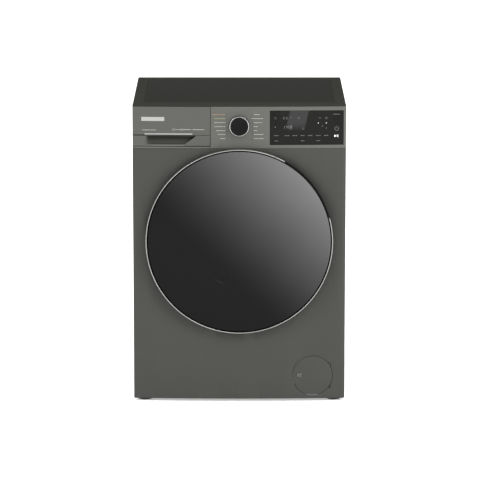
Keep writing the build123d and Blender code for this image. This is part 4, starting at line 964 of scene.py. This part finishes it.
screw_head = [
    (0, 0.0006), (0.0008, 0.0006), (0.0016, 0.0021), (0.0030, 0.0019), (0.0041, 0.0010),
    (0.0043, -0.0004), (0, -0.0004),
]
plug = [
    (0, 0.0022), (0.0085, 0.0022), (0.0095, 0.0036), (0.0125, 0.0036), (0.0150, 0.0022),
    (0.0155, -0.0004), (0, -0.0004),
]
rear_low, rear_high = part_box("rear_panel")
rear_y = rear_high[1]
rear_sides = (rear_low[0] + 0.012, rear_high[0] - 0.012)
cover_low, cover_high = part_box("rear_cover")
cover_spots = [
    (x, cover_high[1] - 0.0072, z)
    for inset_x, inset_z in ((0.009, 0.060), (0.060, 0.009))
    for x in (cover_low[0] + inset_x, cover_high[0] - inset_x)
    for z in (cover_low[2] + inset_z, cover_high[2] - inset_z)
]
edge_spots = [(x, rear_y, z) for x in rear_sides for z in np.linspace(0.05, 0.79, 7)]
edge_spots += [(x, rear_y, rear_high[2] - 0.014) for x in (-0.18, -0.06, 0.06, 0.18)]
edge_spots += [(x, rear_y, rear_low[2] + 0.014) for x in (-0.18, 0.0, 0.18)]
plug_spots = [(x, rear_y, z) for x in (-0.235, 0.235) for z in (0.235, 0.660)]
scattered("cover_screws", screw_head, cover_spots, "bearing_steel")
scattered("panel_screws", screw_head, edge_spots, "bearing_steel")
scattered("transit_plugs", plug, plug_spots, "dark_plastic", 40)


def pressed_ribs():
    """Long ribs pressed out of the back panel, with round ends.

    A rib is a flattened half round: its height falls from the middle line to its outline as the
    square root of what is left, and its outline is a bar with half circles at both ends.
    """
    length, half_wide, height = 0.50, 0.008, 0.0026
    u, v = np.meshgrid(np.linspace(-1, 1, 60), np.linspace(-1, 1, 13), indexing="ij")
    arc = np.sqrt(np.clip(1 - v**2, 0, 1))
    x = u * (length / 2 - half_wide + arc * half_wide)
    rise = height * arc * ease((1 - np.abs(u)) / 0.06)
    parts = []
    for middle in (0.105, 0.150, 0.195, 0.715, 0.752):
        z = middle + v * half_wide
        front = np.stack([x, rear_y + rise - 0.0003, z], axis=-1)
        back = np.stack([x, np.full_like(x, rear_y - 0.0006), z], axis=-1)
        parts.append(shell("rib", front, back))
    place("pressed_ribs", joined("pressed_ribs", parts), "zinc_steel", "cabinet", smooth=50)


pressed_ribs()


# ---- Knob
def knob():
    """Black cap with a softly dished face, in a plated bezel that turns with it."""
    knob_low, knob_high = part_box("knob_cap")
    cap_radius = (knob_high[0] - knob_low[0]) / 2
    bezel_low, bezel_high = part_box("knob_bezel")
    bezel_radius = (bezel_high[0] - bezel_low[0]) / 2
    centre = (0.0, (knob_low[2] + knob_high[2]) / 2)
    face_radius, dish = cap_radius - 0.0022, 0.0007
    face = crown_profile(face_radius, dish, 0.0)
    dished = np.stack([face[:, 0], knob_low[1] + dish - face[:, 1]], axis=1)
    front, foot = knob_low[1], bezel_low[1] + 0.0004
    side = rounded(
        [(face_radius, front, 0), (cap_radius, front, 0.0016), (cap_radius, foot, 0),
         (0.004, foot, 0)]
    )
    stem = np.array([[0.0035, knob_high[1]], [0, knob_high[1]]])
    turned("knob_face", np.vstack([dished, side, stem]), centre, "black_plastic", "knob",
           ("knob_cap",), closed=False, steps=160, smooth=40)
    bore, low, high = 0.0045, bezel_low[1], bezel_high[1]
    ring = rounded(
        [(bore, low, 0), (cap_radius + 0.0003, low, 0), (bezel_radius - 0.0018, low, 0.0009),
         (bezel_radius, low + 0.0045, 0.002), (bezel_radius, high, 0), (bore, high, 0)]
    )
    turned("knob_ring", ring, centre, "chrome", "knob", ("knob_bezel",), steps=160)


knob()


# ---- Printed marks, and painted shadow and highlight lines
def stamped(name, shapes, finish, body="cabinet", lift=0.00012):
    """Thin printed shapes, and painted shadow and highlight lines, that follow the bowed front.

    Each shape is a closed outline in (x, z). Its face lies lift in front of the bow, and a rim runs
    back to as far behind it.
    """
    points, faces, first = [], [], 0
    for shape in shapes:
        x, z = np.asarray(shape, float).T
        y = bow(x)
        points += [np.stack([x, y - lift, z], axis=1), np.stack([x, y + lift, z], axis=1)]
        here = first + np.arange(len(x))
        after = np.roll(here, -1)
        rim = np.stack([here, here + len(x), after + len(x), after], axis=1)
        faces += [here.tolist(), *rim.tolist()]
        first += 2 * len(x)
    mesh = bpy.data.meshes.new(name)
    mesh.from_pydata(np.concatenate(points).tolist(), [], faces)
    with editing(mesh) as bm:
        bmesh.ops.recalc_face_normals(bm, faces=bm.faces)
        bmesh.ops.triangulate(bm, faces=[face for face in bm.faces if len(face.verts) > 4])
    place(name, mesh, finish, body, smooth=20)


def pill(x, z, length, height):
    """Outline of a bar with round ends from x on, centred on z."""
    radius = height / 2
    turn = np.radians(np.linspace(-90, 90, 7))
    reach, rise = radius * np.cos(turn), radius * np.sin(turn)
    right = np.stack([x + length - radius + reach, z + rise], axis=1)
    left = np.stack([x + radius - reach, z - rise], axis=1)
    return np.vstack([right, left])


def words(x, z, length, height, rng):
    """Row of short bars that stands for a line of small lettering, length long from x on."""
    bars = []
    here = x
    while here < x + length - height:
        wide = min(height * rng.uniform(1.6, 4.2), x + length - here)
        bars.append(pill(here, z, wide, height))
        here += wide + height / 2
    return bars


def disc(x, z, radius):
    """Outline of a round dot."""
    turn = np.linspace(0, 2 * np.pi, 24, endpoint=False)
    return np.stack([x + radius * np.cos(turn), z + radius * np.sin(turn)], axis=1)


def arc_band(x, z, radius, width, start, stop):
    """Outline of part of a ring between two angles, in degrees clockwise from the top."""
    turn = np.radians(np.linspace(start, stop, 24))
    way = np.stack([np.sin(turn), np.cos(turn)], axis=1)
    return np.vstack([way * radius, way[::-1] * (radius - width)]) + [x, z]


def stroke(x0, z0, x1, z1, width):
    """Outline of a straight line of that width between two points."""
    along = np.array([x1 - x0, z1 - z0])
    side = np.array([-along[1], along[0]]) / np.linalg.norm(along) * width / 2
    first, last = np.array([x0, z0]), np.array([x1, z1])
    return np.array([first + side, first - side, last - side, last + side])


def long_line(x0, x1, z, width):
    """Level line in short lengths, which bend with the bowed front."""
    ends = np.linspace(x0, x1, max(2, int(abs(x1 - x0) / 0.006)))
    return [stroke(a, z, b, z, width) for a, b in zip(ends, ends[1:])]


def power_sign(x, z, radius, width):
    """Open ring with a bar at the top."""
    bar = stroke(x, z + radius * 0.15, x, z + radius * 1.1, width)
    return [arc_band(x, z, radius, width, 35, 325), bar]


def snow_sign(x, z, radius, width):
    """Star of three crossing bars."""
    turn = np.radians([0, 60, 120])
    ways = zip(radius * np.sin(turn), radius * np.cos(turn))
    return [stroke(x - across, z - up, x + across, z + up, width) for across, up in ways]


def play_pause_sign(x, z, size):
    """Triangle beside two bars."""
    low, high = z - size / 2, z + size / 2
    spots = (x + size * 1.1, x + size * 1.45)
    bars = [stroke(spot, low, spot, high, size * 0.16) for spot in spots]
    return [[(x, low), (x + size * 0.8, z), (x, high)], *bars]


def seven_segments(digit, x, z, height, slant=0.08):
    """Lit bars of one digit, lower left corner at (x, z)."""
    table = {"0": "abcdef", "1": "bc", "4": "fgbc", "6": "afgecd", "8": "abcdefg"}
    wide, thick, middle = height * 0.5, height * 0.11, height / 2
    ends = {
        "a": (thick, height, wide - thick, height),
        "b": (wide, height - thick, wide, middle + thick / 2),
        "c": (wide, middle - thick / 2, wide, thick),
        "d": (thick, 0, wide - thick, 0),
        "e": (0, middle - thick / 2, 0, thick),
        "f": (0, height - thick, 0, middle + thick / 2),
        "g": (thick, middle, wide - thick, middle),
    }
    return [
        stroke(x + x0 + slant * z0, z + z0, x + x1 + slant * z1, z + z1, thick)
        for x0, z0, x1, z1 in (ends[part] for part in table[digit])
    ]


def programme_marks():
    """Ticks and rows of small lettering on both sides of the knob, and the chosen one's lamp.

    Rows are given in mm below the lid's top, and their outer ends in mm from the middle.
    """
    rng = np.random.default_rng(7)
    rows = (24.8, 36.1, 47.5, 58.7, 70.1, 80.8, 92.5)
    left_starts = (75.4, 69.8, 69.8, 69.8, 64.2, 60.0, 53.1)
    right_ends = (58.6, 68.4, 64.2, 53.1, 53.1, 67.0, 68.4)
    left_stop, right_start, lamp_x = 38.5, 40.5, 0.0372
    plain, warm, green, ticks = [], [], [], []
    for index, (row, start, end) in enumerate(zip(rows, left_starts, right_ends)):
        z = lid_top - row / 1000
        left = words(-start / 1000, z, (start - left_stop) / 1000, 0.0015, rng)
        (warm if index == 0 else green if index == 1 else plain).extend(left)
        plain.extend(words(right_start / 1000, z, (end - right_start) / 1000, 0.0015, rng))
        for x in (-0.0352, lamp_x):
            ticks.append(stroke(x, z - 0.0042, x, z + 0.0030, 0.0007))
    stamped("programme_rows", plain, "pale_print")
    stamped("programme_warm", warm, "orange_print")
    stamped("programme_green", green, "green_print")
    stamped("programme_ticks", ticks, "dark_print")
    stamped("programme_lamp", [disc(lamp_x, lid_top - rows[1] / 1000, 0.0011)], "lit_mark")


def drawer_marks():
    """Lettering, signs and name plate on the drawer's front, and the thin lines round it: painted
    shadow under the strip and in the seam below, and a painted highlight on the lower lip.
    """
    rng = np.random.default_rng(3)
    shapes = words(-0.271, lid_top - 0.0690, 0.039, 0.0016, rng)
    z = lid_top - 0.0675
    shapes.append(arc_band(-0.1835, z, 0.0034, 0.0007, 0, 350))
    shapes.extend(words(-0.1785, z, 0.013, 0.0015, rng))
    shapes.append(arc_band(-0.1610, z, 0.0030, 0.0009, 0, 350))
    shapes.extend(words(-0.1565, z, 0.021, 0.0017, rng))
    shapes.extend(words(-0.1305, z, 0.033, 0.0017, rng))
    stamped("drawer_rows", shapes, "pale_print", "drawer")
    left, right, top, bottom = -0.2736, -0.2094, lid_top - 0.0322, lid_top - 0.0435
    corners = [(left, top, 0), (right, top, 0.002), (right, bottom, 0.002), (left, bottom, 0.002)]
    plate = rounded([*corners, (left, top - 0.0003, 0)], 4)
    stamped("name_plate", [plate], "satin_plate", "drawer", 0.0003)
    # painted shadow: black lines under the strip, where it overhangs the scoop
    line = strip_low[2] - 0.0014
    outer, inner = -0.2972, scoop_right - 0.002
    shadow_lines = [
        *long_line(outer, scoop_left, line, 0.0026),
        *long_line(scoop_left, inner, line, 0.0020),
        *long_line(inner, -0.0815, line, 0.0010),
    ]
    stamped("drawer_shadow_line", shadow_lines, "painted_shadow_black", "drawer", 0.0002)
    drawer_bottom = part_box("drawer_front")[0][2]
    # painted highlight: paler line along the drawer's lower lip
    lip = long_line(outer, -0.1550, drawer_bottom + 0.0012, 0.0014)
    stamped("drawer_lip_highlight", lip, "lip_highlight_paint", "drawer")
    # painted shadow: black line in the seam under the drawer
    seam = long_line(-0.2975, -0.0810, drawer_bottom - 0.0012, 0.0018)
    stamped("drawer_seam_shadow", seam, "painted_shadow_black")


def display_marks():
    """Lit signs, digits and rows of small lettering on the display's cover."""
    rng = np.random.default_rng(11)

    def z(down):
        return lid_top - down / 1000

    faint = [
        arc_band(0.1005, z(35.0), 0.0030, 0.0006, 0, 359),
        *snow_sign(0.1661, z(35.0), 0.0036, 0.0006),
        pill(0.2215, z(35.0), 0.0066, 0.0012),
        pill(0.2395, z(33.2), 0.0068, 0.0010),
        pill(0.2395, z(36.8), 0.0068, 0.0010),
        disc(0.1006, z(60.5), 0.0016),
        arc_band(0.1788, z(64.7), 0.0028, 0.0006, 0, 359),
        disc(0.2319, z(57.6), 0.0013),
        disc(0.2431, z(63.3), 0.0013),
    ]
    for x in (0.1034, 0.1328, 0.1551, 0.1775, 0.1985, 0.2208, 0.2432):
        faint += words(x - 0.0065, z(84.5), 0.0130, 0.0018, rng)
    for x in (0.1035, 0.1770, 0.2209):
        faint += words(x - 0.0050, z(99.3), 0.0100, 0.0016, rng)
    faint += words(0.2624, z(24.6), 0.0195, 0.0018, rng)
    middling = [
        *seven_segments("6", 0.1229, z(38.0), 0.0060),
        *seven_segments("0", 0.1306, z(38.0), 0.0060),
        arc_band(0.1452, z(33.0), 0.0011, 0.0005, 0, 359),
    ]
    for index, digit in enumerate("148"):
        middling += seven_segments(digit, 0.1215 + 0.0100 * index, z(65.2), 0.0094)
    middling += power_sign(0.2724, z(64.7), 0.0060, 0.0007)
    bright = [disc(x, z(49.2), 0.0011) for x in (0.2206, 0.2430)]
    bright += play_pause_sign(0.2656, z(85.9), 0.0070)
    stamped("display_lit", bright, "lit_mark")
    stamped("display_signs", middling, "half_lit_mark")
    stamped("display_faint", faint, "dim_mark")


programme_marks()
drawer_marks()
display_marks()

# ---- Camera, floor and light
camera = bpy.data.cameras.new("camera")
camera.lens = 234.4
camera.sensor_width = 36.0
camera.clip_end = 100.0
view = bpy.data.objects.new("camera", camera)
view.location = (0.002, -8.870, 2.208)
view.rotation_euler = (math.radians(78.58), 0, 0)
bpy.context.scene.collection.objects.link(view)
bpy.context.scene.camera = view


def pale_floor():
    """Flat white floor, far larger than the view."""
    corners = [(-40, -40, 0), (40, -40, 0), (40, 40, 0), (-40, 40, 0)]
    mesh = mesh_from("floor", corners, [(0, 1, 2, 3)])
    made = Finish("studio_floor", Roughness=0.9, Emission_Strength=0.4)
    dust = made.noise(3.0, 2.0)
    made.shader.inputs["Emission Color"].default_value = (1, 1, 1, 1)
    tone = made.blend(made.spread(dust, 0, 1), (0.94, 0.94, 0.94), (0.96, 0.96, 0.96))
    mesh.materials.append(made.done(tone))
    floor = bpy.data.objects.new("floor", mesh)
    bpy.context.scene.collection.objects.link(floor)


def soft_light(name, place_at, aim, size, power):
    """Rectangular soft light turned towards a point."""
    lamp = bpy.data.lights.new(name, "AREA")
    lamp.shape = "RECTANGLE"
    lamp.size, lamp.size_y = size
    lamp.energy = power
    made = bpy.data.objects.new(name, lamp)
    made.location = place_at
    made.rotation_euler = (Vector(aim) - Vector(place_at)).to_track_quat("-Z", "Y").to_euler()
    lamp.use_nodes = True
    bpy.context.scene.collection.objects.link(made)


pale_floor()
soft_light("key", (2.6, -4.5, 5.5), (0, 0, 0.5), (3.0, 3.0), 260)
soft_light("fill", (-4.5, -4.0, 4.5), (0, 0, 0.4), (3.0, 3.0), 170)
soft_light("side", (2.4, -2.2, 1.3), (0, -0.3, 0.5), (1.4, 1.8), 34)
world = bpy.data.worlds.new("studio")
world.use_nodes = True
backdrop = world.node_tree.nodes["Background"].inputs
backdrop["Color"].default_value = (1, 1, 1, 1)
backdrop["Strength"].default_value = 1.25
bpy.context.scene.world = world
bpy.context.scene.view_settings.view_transform = "Standard"
